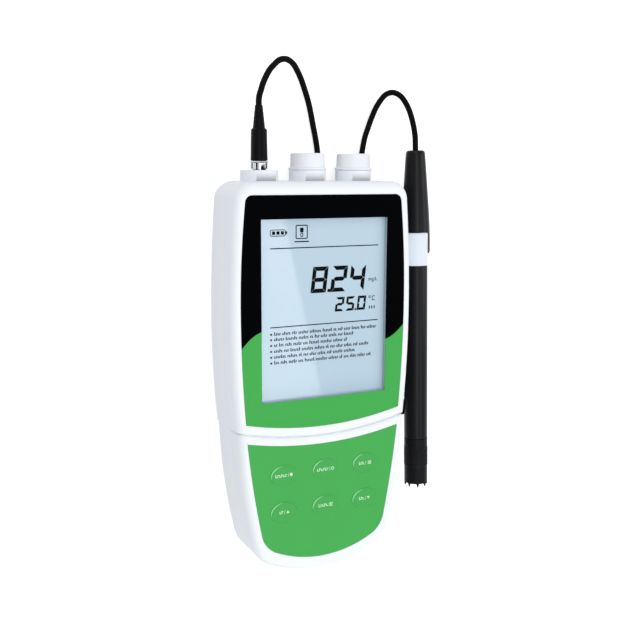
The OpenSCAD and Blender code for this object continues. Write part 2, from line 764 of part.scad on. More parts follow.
// One cell lying along Y; up is 1 with its pole to the connector end and -1 the other way
module cell(x, up) {
    body_l = cell_l - 1.3;
    y0 = bay_low + plate_t + 0.1 + (up > 0 ? spring_l : 0);
    color([0.2, 0.25, 0.45]) {
        along_y(x, y0 + (up > 0 ? 0 : 1.3), cell_z) cylinder(r = cell_r, h = body_l);
        along_y(x, y0 + (up > 0 ? body_l - eps : 0), cell_z) cylinder(r = 2.75, h = 1.3 + eps);
    }
}
module cell_1() { cell(-cell_pitch, 1); }
module cell_2() { cell(0, -1); }
module cell_3() { cell(cell_pitch, 1); }

// Tube of radius r along a list of points, with rings across the path
function ring(p, t, r, n) =
    let (side = cross(t, [0, 0, 1]) / norm(cross(t, [0, 0, 1])), up = cross(side, t))
    [for (k = [0:n - 1]) p + r * (cos(360 * k / n) * side + sin(360 * k / n) * up)];

function unit(v) = v / norm(v);

module tube(path, r, n) {
    m = len(path);
    tangents = [for (i = [0:m - 1]) unit(path[min(i + 1, m - 1)] - path[max(i - 1, 0)])];
    rings = [for (i = [0:m - 1]) for (p = ring(path[i], tangents[i], r, n)) p];
    walls = [for (i = [0:m - 2]) for (k = [0:n - 1])
        let (a = i * n + k, b = i * n + (k + 1) % n) [a, b, b + n, a + n]];
    polyhedron(points = rings, convexity = 10, faces = concat(walls,
        [[for (k = [n - 1:-1:0]) k]], [[for (k = [0:n - 1]) (m - 1) * n + k]]));
}

// Springs at the flat ends of the cells
module cell_springs() {
    wire = 0.4;
    gap = spring_l - 2 * wire - 0.1;
    color(steel) for (i = [-1:1]) {
        up = i == 0 ? -1 : 1;
        y = up > 0 ? bay_low + plate_t + wire + 0.05 : bay_top - plate_t - wire - 0.05;
        translate([i * cell_pitch, y, cell_z]) for (k = [0:3]) {
            along_y(0, up * gap * k / 3, 0) rotate_extrude($fn = 32)
                translate([4.6 - 0.5 * k, 0]) circle(r = wire, $fn = 16);
        }
    }
}

// Contact plates at both ends of the bay
module cell_contacts() {
    color(brass) for (x = [-1, 0, 1]) for (e = [0, 1]) {
        y = e == 0 ? bay_low + 0.02 : bay_top - plate_t - 0.02;
        slab(x * cell_pitch - plate_half, x * cell_pitch + plate_half, y, y + plate_t,
            cell_z - plate_half, cell_z + plate_half);
    }
}

// Threaded jack barrel with a flange on the panel and two bayonet lugs
module jack_shell() {
    color(steel) difference() {
        union() {
            along_y(port_x[0], panel_y - 4, port_z) cylinder(r = jack_r, h = lug_y + 1.6 - panel_y + 4);
            along_y(port_x[0], top_y, port_z) cylinder(r = collar_bore_r - 0.3, h = 1);
            for (a = [0, 180]) translate([port_x[0], lug_y, port_z]) rotate([0, a, 0])
                cylinder(r = lug_r, h = sleeve_r - 0.1);
        }
        along_y(port_x[0], panel_y - 5, port_z) cylinder(r = jack_r - 0.6, h = 30);
    }
}

module jack_nut() {
    color(steel) along_y(port_x[0], panel_y - 2.1, port_z) difference() {
        cylinder(r = 4.6, h = 2, $fn = 6);
        translate([0, 0, -1]) cylinder(r = jack_r + 0.05, h = 4);
    }
}

module jack_insulator() {
    color([0.9, 0.9, 0.85]) along_y(port_x[0], panel_y - 3, port_z) difference() {
        cylinder(r = jack_r - 0.65, h = lug_y - panel_y + 3);
        translate([0, 0, 2]) cylinder(r = 0.6, h = 40);
    }
}

// Quarter-turn sleeve: a groove for each lug runs a quarter turn to a round seat
module bayonet_sleeve() {
    groove = 2 * lug_r + 0.2;
    reach = 2 * sleeve_r;
    color(steel) along_y(port_x[0], 0, port_z) difference() {
        union() {
            translate([0, 0, sleeve_start]) cylinder(r = sleeve_r, h = sleeve_end - sleeve_start);
            translate([0, 0, sleeve_end - 1]) cylinder(r = sleeve_r + 0.15, h = 0.8);
        }
        translate([0, 0, sleeve_start - 1]) cylinder(r = jack_r + 0.05, h = 20);
        for (s = [0, 180]) rotate([0, 0, s]) {
            translate([0, 0, lug_y - groove / 2]) linear_extrude(groove)
                polygon([[0, 0], [0, -reach], [reach, -reach], [reach, 1.6]]);
            rotate([90, 0, 0]) translate([0, lug_y, 0]) cylinder(r = groove / 2 + 0.15, h = reach);
            slab(0, reach, -groove / 2, groove / 2, sleeve_start - 1, lug_y);
        }
    }
}

// Black barrel of the plug, with a spigot that the sleeve turns on
module plug_body() {
    color(black) difference() {
        along_y(port_x[0], 0, port_z) union() {
            translate([0, 0, plug_start - 2.4]) cylinder(r = jack_r, h = 2.5);
            translate([0, 0, plug_start]) cylinder(r1 = plug_r, r2 = plug_tip_r, h = plug_l - 0.8);
            translate([0, 0, plug_end - 0.8 - eps])
                cylinder(r1 = plug_tip_r, r2 = plug_tip_r - 0.5, h = 0.8 + eps);
        }
        along_y(port_x[0], plug_start - 3, port_z) cylinder(r = 0.55, h = 6);
    }
}

module plug_pin() {
    color(brass) along_y(port_x[0], top_y, port_z) cylinder(r = 0.5, h = plug_start + 2.5 - top_y);
}

module plug_boot() {
    color(black) along_y(port_x[0], plug_end, port_z) difference() {
        cylinder(r1 = boot_r, r2 = boot_tip_r, h = boot_l);
        for (i = [1:4]) translate([0, 0, i * boot_l / 5]) rotate_extrude()
            translate([boot_r + 0.2 - i * (boot_r - boot_tip_r) / 5, 0]) circle(r = 0.35, $fn = 16);
    }
}

// Round panel socket under a dust cap
module panel_socket(i) {
    color(black) along_y(port_x[i], 0, port_z) difference() {
        union() {
            translate([0, 0, panel_y - 4]) cylinder(r = 4, h = wall + 4);
            translate([0, 0, top_y]) cylinder(r = 5.4, h = 1.2);
            translate([0, 0, top_y]) cylinder(r = 3.9, h = collar_h + 2.4);
        }
        children();
    }
}
module socket_2() {
    panel_socket(1) translate([0, 0, top_y - 2]) cylinder(r = 1.8, h = 20);
}
module socket_3() {
    panel_socket(2) slab(-2.6, 2.6, -1.3, 1.3, top_y - 2, top_y + 20);
}

module socket_nuts() {
    color(steel) for (i = [1, 2]) along_y(port_x[i], panel_y - 2.1, port_z) difference() {
        cylinder(r = 5.8, h = 2, $fn = 6);
        translate([0, 0, -1]) cylinder(r = 4.05, h = 4);
    }
}

// Push-in dust cap: a skirt in the collar, a rim on it and a flat-topped hollow crown
module dust_cap(i) {
    color(white) along_y(port_x[i], 0, port_z) difference() {
        union() {
            translate([0, 0, top_y + 1.5]) cylinder(r = collar_bore_r - 0.05, h = collar_h - 1.4);
            translate([0, 0, collar_top + fit]) cylinder(r = collar_r + 0.2, h = rim_h);
            translate([0, 0, collar_top + fit + rim_h - eps])
                cylinder(r1 = cap_r + 0.15, r2 = cap_r, h = cap_h - rim_h - 0.4 - fit);
            translate([0, 0, cap_end - 0.4 - 2 * eps]) cylinder(r1 = cap_r, r2 = cap_r - 0.4, h = 0.4);
        }
        translate([0, 0, top_y]) cylinder(r = collar_bore_r - 1.2, h = cap_end - top_y - 1.2);
    }
}
module dust_cap_2() { dust_cap(1); }
module dust_cap_3() { dust_cap(2); }

clip_screw_l = 2.4;
foot_h = 9;

module clip_foot(grow) {
    translate([side_x(clip_y) - foot_depth, clip_y, probe_z]) rotate([0, 0, probe_lean])
        translate([-grow, -clip_l / 2 - grow, -5 - grow])
            cube([foot_depth + probe_gap, clip_l + 2 * grow, foot_h + 2 * grow]);
}

// Axis of a foot screw, pointing out of the side of the case
module clip_screw_axis(s) {
    translate([side_x(clip_y) - foot_depth, clip_y, probe_z]) rotate([0, 0, probe_lean])
        translate([0, s * 4.6, 0]) rotate([0, 90, 0]) children();
}

// C-shaped spring clip, open towards +X, with a seat for the handle's shoulder
module sensor_clip() {
    half = clip_l / 2;
    reach = 2 * clip_r;
    color(white) difference() {
        union() {
            clip_foot(0);
            probe_frame() translate([0, 0, -half]) cylinder(r = clip_r, h = clip_l);
        }
        probe_frame() {
            translate([0, 0, shoulder_s]) cylinder(r = handle_r + handle_play, h = clip_l);
            translate([0, 0, -half - 1]) cylinder(r = shaft_r + shaft_play, h = clip_l);
            translate([0, 0, -half - 1]) linear_extrude(clip_l + 2) polygon([[0, 0],
                [reach * sin(8), -reach * cos(8)], [reach, -reach], [reach, 0],
                [reach * cos(50), reach * sin(50)]]);
        }
        for (s = [-1, 1]) clip_screw_axis(s) {
            translate([0, 0, -1]) cylinder(r = 0.95, h = 20);
            translate([0, 0, foot_depth + 0.6]) cylinder(r = 1.9, h = 20);
        }
    }
}

module clip_screws() {
    color(steel) for (s = [-1, 1]) clip_screw_axis(s) {
        translate([0, 0, -clip_screw_l]) cylinder(r = board_screw_r, h = foot_depth + 0.7 + clip_screw_l);
        translate([0, 0, foot_depth + 0.65]) cylinder(r = 1.7, h = 1);
    }
}

// Handle, a turned form that swells towards its shoulder, with the cable's entry on top
module probe_handle() {
    e = shoulder_s;
    l = handle_l;
    color(black) probe_frame() rotate_extrude() polygon([[0, e], [handle_r - 0.5, e],
        [handle_r, e + 0.5], [handle_r, e + 7], [handle_r - 0.12, e + 12], [handle_r - 0.45, e + 19],
        [handle_r - 1, e + 27], [handle_r - 1.45, e + 34], [handle_r - 1.85, e + 40],
        [handle_r - 2.05, e + l - 3], [handle_r - 2.3, e + l - 1.4], [handle_r - 2.8, e + l - 0.5],
        [handle_r - 3.5, e + l], [0, e + l]]);
}

// Shaft: a long tube, closed by the handle above, with a spigot for the membrane cap
module probe_shaft() {
    color(black) probe_frame() difference() {
        union() {
            translate([0, 0, shaft_end_s]) cylinder(r = shaft_r, h = shaft_l);
            translate([0, 0, shaft_end_s - spigot_l]) cylinder(r = spigot_r, h = spigot_l + 1);
        }
        translate([0, 0, shaft_end_s - spigot_l - 1]) cylinder(r = core_r + 0.02, h = shaft_l + spigot_l);
    }
}

module probe_core() {
    color([0.85, 0.85, 0.8]) probe_frame() difference() {
        translate([0, 0, tip_s + 3]) cylinder(r = core_r, h = cap_l + 8);
        translate([0, 0, tip_s]) cylinder(r = 1.05, h = 8);
        translate([0, 0, tip_s + 8]) difference() {
            cylinder(r = core_r + 1, h = 7);
            translate([0, 0, -1]) cylinder(r = core_r - 0.5, h = 9);
        }
    }
}

module cathode() {
    color([0.85, 0.7, 0.3]) probe_frame() translate([0, 0, tip_s + 2.9]) cylinder(r = 1, h = 5);
}

module anode() {
    color(steel) probe_frame() translate([0, 0, tip_s + 8.1]) difference() {
        cylinder(r = core_r, h = 6.8);
        translate([0, 0, -1]) cylinder(r = core_r - 0.45, h = 9);
    }
}

module cap_seal() {
    color(black) probe_frame() translate([0, 0, shaft_end_s - 0.6]) rotate_extrude()
        translate([spigot_r + 0.45, 0]) circle(r = 0.4, $fn = 24);
}

// Screw-on cap with a gripping ring above and guard teeth round the membrane below
module membrane_cap() {
    teeth = 8;
    h = cap_l - 0.1;
    color(black) probe_frame() difference() {
        union() {
            translate([0, 0, tip_s]) cylinder(r = shaft_r, h = h);
            translate([0, 0, tip_s + 10.4]) cylinder(r = shaft_r + 0.12, h = 9);
        }
        translate([0, 0, tip_s + h - 1.1]) cylinder(r = spigot_r + 0.95, h = 2);
        translate([0, 0, tip_s + h - spigot_l - 1]) cylinder(r = spigot_r + 0.05, h = spigot_l + 2);
        translate([0, 0, tip_s + 2.6]) cylinder(r = core_r + 0.6, h = cap_l);
        translate([0, 0, tip_s - 1]) cylinder(r = core_r, h = cap_l);
        for (i = [0:teeth - 1]) rotate(i * 360 / teeth)
            slab(core_r - 0.5, 2 * shaft_r, -0.9, 0.9, tip_s - 1, tip_s + 1.6);
    }
}

module membrane() {
    color([0.85, 0.87, 0.9]) probe_frame() translate([0, 0, tip_s + 2.65]) cylinder(r = core_r + 0.55, h = 0.2);
}

module lead_out() { color(black) tube(route_out, cable_r, 8); }
module lead_back() { color(black) tube(route_back, cable_r, 8); }

// Outer form of the spare cable, folded flat in three layers
module lead_hank() {
    r = hank_w / 2;
    color(black) translate([hank_x, hank_y, 0]) union() {
        for (s = [-1, 1]) translate([0, s * (hank_l / 2 - r), 0]) cylinder(r = r, h = hank_h);
        slab(-r, r, -hank_l / 2 + r, hank_l / 2 - r, 0, hank_h);
    }
}

// Band round the middle of the hank
module hank_tie() {
    w = hank_w / 2 + 0.05;
    color(black) difference() {
        slab(hank_x - w - tie_t, hank_x + w + tie_t, hank_y - tie_l / 2, hank_y + tie_l / 2,
            0, hank_h + tie_t);
        slab(hank_x - w, hank_x + w, hank_y - tie_l, hank_y + tie_l, -1, hank_h + 0.05);
    }
}

rear_case();
display_case();
keypad_case();
case_seal();
case_screws();
display_film();
display_window();
lcd_glass();
backlight();
lcd_frame();
main_board();
board_chips();
board_screws();
ribbon();
keypad_film();
key_1();
key_2();
key_3();
key_4();
key_5();
key_6();
keypad_board();
key_switches();
keypad_screws();
battery_door();
cell_1();
cell_2();
cell_3();
cell_springs();
cell_contacts();
jack_shell();
jack_nut();
jack_insulator();
bayonet_sleeve();
plug_body();
plug_pin();
plug_boot();
socket_2();
socket_3();
socket_nuts();
dust_cap_2();
dust_cap_3();
sensor_clip();
clip_screws();
probe_handle();
probe_shaft();
probe_core();
cathode();
anode();
cap_seal();
membrane_cap();
membrane();
lead_out();
lead_hank();
hank_tie();
lead_back();
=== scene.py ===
import math

import bmesh
import bpy
from mathutils import Matrix, Vector
from mathutils.geometry import tessellate_polygon


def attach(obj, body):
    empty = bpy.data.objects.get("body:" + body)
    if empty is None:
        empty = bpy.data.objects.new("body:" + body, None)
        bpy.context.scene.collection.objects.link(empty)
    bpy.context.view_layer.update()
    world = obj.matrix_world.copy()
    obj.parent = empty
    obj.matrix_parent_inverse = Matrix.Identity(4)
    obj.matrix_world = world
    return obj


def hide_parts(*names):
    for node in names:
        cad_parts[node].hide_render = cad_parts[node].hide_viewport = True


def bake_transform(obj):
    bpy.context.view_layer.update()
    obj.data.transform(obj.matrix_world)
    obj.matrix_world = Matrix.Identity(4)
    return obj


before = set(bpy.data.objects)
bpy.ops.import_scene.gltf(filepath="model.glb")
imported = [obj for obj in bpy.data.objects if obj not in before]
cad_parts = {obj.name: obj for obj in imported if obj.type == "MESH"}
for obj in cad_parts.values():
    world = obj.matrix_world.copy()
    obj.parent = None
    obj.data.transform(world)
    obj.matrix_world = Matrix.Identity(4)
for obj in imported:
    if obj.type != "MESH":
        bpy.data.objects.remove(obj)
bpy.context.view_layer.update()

# The view: the meter lies on its back and is seen from its left, a little past the middle
# of its length, from about 0.4 m.
camera_data = bpy.data.cameras.new("camera")
camera_data.lens = 50.49
camera_data.sensor_width = 36
camera = bpy.data.objects.new("camera", camera_data)
bpy.context.scene.collection.objects.link(camera)
camera.matrix_world = (
    Matrix.Translation((-0.16914, 0.09012, 0.36392))
    @ Matrix.Rotation(math.radians(-26.476), 4, "Y")
    @ Matrix.Rotation(math.radians(-9.572), 4, "X")
    @ Matrix.Rotation(math.radians(0.294), 4, "Z")
)
bpy.context.scene.camera = camera

# Probe cable: a round lead in a matt black jacket, about 0.86 m from the plug's strain relief to
# the probe's handle. Its spare length is folded into a flat hank of four turns in three layers,
# which lies behind the probe, held by a soft strap. All points are in millimetres.
MM = 0.001
cable_r = 1.3
route_out = [
    (-22.4, 116, 11.5), (-22.4, 118, 11.5), (-22.2, 120, 11.8), (-21.6, 122, 12), (-20.5, 125, 11.8),
    (-18.8, 128, 11.2), (-16.8, 130.8, 10.5), (-14.4, 133, 9.8), (-12, 134.8, 9), (-9, 135.5, 8.2),
    (-6.4, 135, 7.2), (-4, 133.6, 6.2), (-1.8, 131, 5.3), (0.2, 128, 4.5), (2.4, 123.6, 3.6),
    (4.4, 119, 2.8), (6, 114, 2.2), (7.4, 108.6, 1.7), (8.8, 103, 1.4), (9.8, 97, 1.3), (10.2, 90, 1.3),
    (10.6, 86, 1.3), (12.3, 82, 1.3), (15, 79.8, 1.3), (19, 79, 1.3), (26, 79, 1.3), (34, 79, 1.3),
    (42, 79, 1.3), (46, 78.4, 1.3), (49.2, 76, 1.3), (50.6, 72.5, 1.3), (51, 66, 1.3), (50.2, 58, 1.3),
    (48.4, 50, 1.3), (46.6, 43, 1.3), (45.4, 37, 1.3), (45, 32, 1.3),
]
route_back = [
    (63.4, 32, 6.5), (63, 36, 6.2), (61.6, 42, 4.6), (59.4, 48, 2.8), (57, 54, 1.6), (55.2, 60, 1.3),
    (54.2, 67, 1.3), (53.7, 73, 1.3), (52.2, 77.4, 1.3), (49.4, 80.6, 1.3), (45.6, 82, 1.3),
    (41, 82.3, 1.3), (37.4, 82.8, 1.3), (34.4, 84.6, 1.3), (32.6, 88, 1.3), (32, 92.4, 1.3),
    (32.3, 97.2, 1.3), (33.6, 103.8, 1.3), (35, 107.8, 1.4), (36.2, 111.4, 1.7), (37.4, 114.6, 2.1),
    (38.6, 117.6, 2.7), (40, 120.2, 3.5), (41.4, 122.4, 4.5), (43, 123.7, 5.7), (44.8, 124, 7),
    (46.6, 123.2, 8.4), (48.2, 121.4, 9.7), (49.5, 118.7, 11), (50.5, 115.5, 12.2), (51.2, 112, 13.2),
    (51.7, 108, 14.2), (52, 104.4, 14.8), (52.1, 101, 15), (52.17, 98.5, 15),
]
hank_x, hank_low, hank_high, turn_steps = 54.2, -16, 28, 14
layer = [1.3, 3.9, 6.5]
wide, narrow = 9.2, 6.6


def ease(f):
    """From 0 to 1 with a soft start and end."""
    f = min(max(f, 0), 1)
    return f * f * (3 - 2 * f)


def hank_turn(left, low, right, top):
    """One turn: down the left, round the low end, up the right, round the top. Each part has its
    radius and height at start and end, and the share of the part after which they change."""
    points = []
    for (r0, z0, r1, z1, begin, finish), part in zip((left, low, right, top), range(4)):
        for i in range(turn_steps):
            f = i / turn_steps
            g = ease((f - begin) / (finish - begin))
            r, z = r0 + (r1 - r0) * g, z0 + (z1 - z0) * g
            if part == 0:
                points.append((hank_x - r, hank_high + (hank_low - hank_high) * f, z))
            elif part == 2:
                points.append((hank_x + r, hank_low + (hank_high - hank_low) * f, z))
            else:
                a = math.pi * (1 + f if part == 1 else f)
                y = hank_low if part == 1 else hank_high
                points.append((hank_x + r * math.cos(a), y + r * math.sin(a), z))
    return points


def steady(r, z):
    """A part of a turn with one radius and height."""
    return (r, z, r, z, 0, 1)


low_z, mid_z, high_z = layer
hank = (
    hank_turn(steady(wide, low_z), steady(wide, low_z), steady(wide, low_z),
              (wide, low_z, narrow, low_z, 0.45, 1))
    + hank_turn(steady(narrow, low_z), (narrow, low_z, narrow, mid_z, 0.5, 1),
                steady(narrow, mid_z), steady(narrow, mid_z))
    + hank_turn(steady(narrow, mid_z), (narrow, mid_z, wide, mid_z, 0, 0.55),
                steady(wide, mid_z), steady(wide, mid_z))
    + hank_turn((wide, mid_z, wide, high_z, 0, 1), steady(wide, high_z), steady(wide, high_z),
                steady(wide, high_z))[:-turn_steps]
)


def smooth_path(points, step):
    """Points at equal steps along a smooth curve through the given ones."""
    p = [Vector(q) for q in points]
    p = [2 * p[0] - p[1]] + p + [2 * p[-1] - p[-2]]
    fine = []
    for a, b, c, d in zip(p, p[1:], p[2:], p[3:]):
        for i in range(12):
            t = i / 12
            fine.append(0.5 * (2 * b + (c - a) * t + (2 * a - 5 * b + 4 * c - d) * t * t
                               + (3 * b - a - 3 * c + d) * t ** 3))
    fine.append(p[-2])
    lengths = [0]
    for a, b in zip(fine, fine[1:]):
        lengths.append(lengths[-1] + (b - a).length)
    count = round(lengths[-1] / step)
    even, k = [], 0
    for i in range(count + 1):
        want = lengths[-1] * i / count
        while k < len(fine) - 2 and lengths[k + 1] < want:
            k += 1
        t = (want - lengths[k]) / max(lengths[k + 1] - lengths[k], 1e-9)
        even.append(fine[k].lerp(fine[k + 1], t))
    return even, lengths[-1]


def mended(mesh, merge=0.0, flatten=False):
    """Turns a mesh's faces outward, after points closer than merge metres are made one. With
    flatten, neighbouring faces in one plane are made one too."""
    clean = bmesh.new()
    clean.from_mesh(mesh)
    if merge:
        bmesh.ops.remove_doubles(clean, verts=clean.verts, dist=merge)
    bmesh.ops.recalc_face_normals(clean, faces=clean.faces)
    if flatten:
        bmesh.ops.dissolve_limit(clean, angle_limit=math.radians(0.4), verts=clean.verts,
                                 edges=clean.edges)
    clean.to_mesh(mesh)
    clean.free()


def smoothed(mesh, sharp=35):
    """Shades a mesh smooth between its edges that are sharper than the angle."""
    mesh.shade_smooth()
    mesh.set_sharp_from_angle(angle=math.radians(sharp))


def placed(name, mesh):
    """A new object in the scene with this mesh."""
    made = bpy.data.objects.new(name, mesh)
    bpy.context.scene.collection.objects.link(made)
    return made


def piece(name, points, faces, materials):
    """A mesh from points in millimetres, with smooth shading."""
    mesh = bpy.data.meshes.new(name)
    mesh.from_pydata([Vector(p) * MM for p in points], [], faces)
    for m in materials:
        mesh.materials.append(m)
    mended(mesh)
    smoothed(mesh)
    return placed(name, mesh)


def tube(name, path, radii, sides, materials):
    """A round tube along a path, with one radius for each point."""
    tangents = [(path[min(i + 1, len(path) - 1)] - path[max(i - 1, 0)]).normalized()
                for i in range(len(path))]
    side = tangents[0].orthogonal().normalized()
    points = []
    for p, t, r in zip(path, tangents, radii):
        side = (side - t * side.dot(t)).normalized()
        up = t.cross(side)
        points += [p + r * (math.cos(a) * side + math.sin(a) * up)
                   for a in (2 * math.pi * k / sides for k in range(sides))]
    faces = [(i * sides + k, i * sides + (k + 1) % sides,
              (i + 1) * sides + (k + 1) % sides, (i + 1) * sides + k)
             for i in range(len(path) - 1) for k in range(sides)]
    last = (len(path) - 1) * sides
    faces += [tuple(range(sides))[::-1], tuple(range(last, last + sides))]
    return piece(name, points, faces, materials)


class Wire:
    """A node's output. Arithmetic on it adds Math nodes, and node() adds any other node."""

    def __init__(self, tree, socket=None):
        self.tree = tree
        self.socket = socket

    def node(self, kind, settings, inputs, output=0):
        """A new node with these settings and inputs; another Wire as an input is linked to it."""
        made = self.tree.nodes.new(kind)
        for name, value in settings.items():
            setattr(made, name, value)
        for name, value in inputs.items():
            if isinstance(value, Wire):
                self.tree.links.new(value.socket, made.inputs[name])
            else:
                made.inputs[name].default_value = value
        return Wire(self.tree, made.outputs[output])

    def math(self, operation, first, second=0.0):
        return self.node("ShaderNodeMath", {"operation": operation}, {0: first, 1: second})

    def __add__(self, other):
        return self.math("ADD", self, other)

    __radd__ = __add__

    def __mul__(self, other):
        return self.math("MULTIPLY", self, other)

    __rmul__ = __mul__

    def __sub__(self, other):
        return self.math("SUBTRACT", self, other)

    def __rsub__(self, other):
        return self.math("SUBTRACT", other, self)

    def mix(self, first, second):
        """The first colour where this is 0, the second where it is 1."""
        return self.node("ShaderNodeMix", {"data_type": "RGBA"},
                         {0: self, 6: first, 7: second}, 2)

    def step(self, low, high):
        """0 below low, 1 above high, and a soft step between them."""
        return self.node("ShaderNodeMapRange", {"interpolation_type": "SMOOTHSTEP"},
                         {0: self, 1: low, 2: high})

    def place(self):
        """The place on the piece, in metres."""
        return self.node("ShaderNodeTexCoord", {}, {}, "Object")

    def along(self, axis):
        """The place on the piece along one axis, in millimetres."""
        return self.node("ShaderNodeSeparateXYZ", {}, {"Vector": self.place()}, axis) * 1000

    def noise(self, size):
        """Noise whose lumps are about size millimetres across."""
        return self.node("ShaderNodeTexNoise", {},
                         {"Vector": self.place(), "Scale": 1 / (size * MM), "Detail": 2.0})


def colour(red, green, blue):
    """A colour as a screen shows it, 0 to 255, in the linear values that shaders take."""
    return tuple((c / 12.92 if c <= 0.04045 else ((c + 0.055) / 1.055) ** 2.4)
                 for c in (red / 255, green / 255, blue / 255)) + (1.0,)


drift_size = 9


def material(name, base, roughness, grain, depth, uneven=0.04, metal=0.0, coat=0.0, alpha=1.0,
             glow=0.0, gloss=0.5):
    """A surface whose gloss, and colour too where base is one colour, drift a little over it.
    base may also be a function that paints. grain is the size of the surface's fine grain and
    depth its height, in millimetres."""
    made = bpy.data.materials.new(name)
    made.use_nodes = True
    tree = made.node_tree
    shader = tree.nodes["Principled BSDF"]
    start = Wire(tree)
    drift = start.noise(drift_size)
    if callable(base):
        tint = base(start)
    else:
        tint = drift.mix(base, tuple(c * (1 - 3 * uneven) for c in base[:3]) + (1.0,))
    wires = {
        "Base Color": tint,
        "Roughness": roughness * (1 - uneven) + drift * (2 * uneven * roughness),
        "Normal": start.node("ShaderNodeBump", {}, {
            "Height": start.noise(grain), "Distance": depth * MM, "Strength": 1.0}),
    }
    if glow:
        wires["Emission Color"] = tint
    for name_of, wire in wires.items():
        tree.links.new(wire.socket, shader.inputs[name_of])
    for name_of, value in (("Metallic", metal), ("Coat Weight", coat), ("Coat Roughness", 0.03),
                           ("Alpha", alpha), ("Specular IOR Level", gloss),
                           ("Emission Strength", glow)):
        shader.inputs[name_of].default_value = value
    return made


cable_black = material("cable_black", colour(5, 5, 6), 0.5, 0.25, 0.01, gloss=0.05)
path_step, cable_sides = 1.1, 14
cord_path, cord_length = smooth_path(route_out + hank + route_back, path_step)
probe_cable = tube("probe_cable", cord_path, [cable_r] * len(cord_path), cable_sides,
                   [cable_black])
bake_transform(probe_cable)
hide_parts("lead_out", "lead_hank", "lead_back")

# Plug: a black barrel with its spigot, and a finely ringed tapered strain relief on the cable.
# All three ports' axes run along Y, so a turned piece's length is its place along Y.
port_x = [-22.4, 0, 22.4]
port_z = 11.5
top_y = 85


def soften(profile, size):
    """The profile with each of its corners rounded over about size millimetres."""
    made = [profile[0]]
    for a, b, c in zip(profile, profile[1:], profile[2:]):
        a, b, c = Vector(a), Vector(b), Vector(c)
        before, after = a - b, c - b
        if before.length < 1e-6 or after.length < 1e-6:
            continue
        if b.y < 1e-6 or before.angle(after) > math.radians(160):
            made.append(tuple(b))
            continue
        p = b + before.normalized() * min(size, 0.45 * before.length)
        q = b + after.normalized() * min(size, 0.45 * after.length)
        for t in (0, 0.33, 0.67, 1):
            made.append(tuple((1 - t) ** 2 * p + 2 * t * (1 - t) * b + t * t * q))
    return made + [profile[-1]]


def turned(name, profile, place, materials, closed=False, size=0.15, sides=72, ribs=None):
    """A turned piece: profile points are (place along the axis, radius). ribs is the stretch that
    is ribbed lengthwise and the ribs' depth."""
    if closed:
        middle = tuple((Vector(profile[0]) + Vector(profile[1])) / 2)
        profile = soften([middle] + profile[1:] + [profile[0], middle], size)[:-1]
    else:
        profile = soften(profile, size)
    points, rings = [], []
    for s, r in profile:
        count = 1 if r < 1e-6 else sides
        rings.append(range(len(points), len(points) + count))
        for k in range(count):
            a = 2 * math.pi * k / sides
            q = r - (ribs[2] if ribs and ribs[0] < s < ribs[1] and k % 4 > 1 else 0)
            points.append(place @ Vector((q * math.cos(a), q * math.sin(a), s)))
    faces = []
    pairs = list(zip(rings, rings[1:])) + ([(rings[-1], rings[0])] if closed else [])
    for low, high in pairs:
        for k in range(sides if len(low) + len(high) > 2 else 0):
            j = (k + 1) % sides
            if len(low) == 1:
                faces.append((low[0], high[j], high[k]))
            elif len(high) == 1:
                faces.append((low[k], low[j], high[0]))
            else:
                faces.append((low[k], low[j], high[j], high[k]))
    return piece(name, points, faces, materials)


def along_y(x, z):
    """Puts a turned piece's axis along Y."""
    return Matrix.Translation((x, 0, z)) @ Matrix.Rotation(math.radians(-90), 4, "X")


plug_rubber = material("plug_rubber", colour(5, 5, 7), 0.36, 0.3, 0.006, gloss=0.07)
jack_axis = along_y(port_x[0], port_z)
plug_body = turned("plug_body_turned", [
    (90.9, 0), (90.9, 2.8), (93.4, 2.8), (93.4, 3.6), (94.5, 3.6), (94.65, 3.55), (105.9, 3.35),
    (106.5, 2.9), (106.5, 0)], jack_axis, [plug_rubber])
boot_y, boot_l, boot_r, boot_tip_r = 106.4, 9.4, 2.6, 1.6
groove_half, groove_deep = 0.15, 0.07
boot_profile = [(boot_y, 0), (boot_y, boot_r)]
for i in range(4):
    at = boot_y + 2 + 1.9 * i
    r = boot_r + (boot_tip_r - boot_r) * (at - boot_y) / boot_l
    boot_profile += [(at - groove_half, r), (at, r - groove_deep), (at + groove_half, r)]
boot_profile += [(boot_y + boot_l, boot_tip_r), (116, 1.4), (116, 0)]
plug_boot = turned("plug_boot_ringed", boot_profile, jack_axis, [plug_rubber], size=0.1, sides=48)
for made, node in ((plug_body, "plug_body"), (plug_boot, "plug_boot")):
    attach(made, "meter")
    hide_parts(node)

# Strap round the folded cable: a soft dark band, 8 mm wide, that goes all the way round the hank.
# It is a little thicker along its middle than at its edges.
strap_cloth = material("strap_cloth", colour(28, 28, 31), 0.85, 0.35, 0.05)
strap_y, strap_half, strap_top, strap_low = 6, 10.6, 7.95, 0.05
turn_r = 2.2
turn_x, low_turn_z, high_turn_z = strap_half - turn_r, turn_r + strap_low, strap_top - turn_r
section = []
for cx, cz, a0 in ((turn_x, low_turn_z, 270), (turn_x, high_turn_z, 0),
                   (-turn_x, high_turn_z, 90), (-turn_x, low_turn_z, 180)):
    section += [(cx, cz, math.radians(a0 + 15 * i)) for i in range(7)]
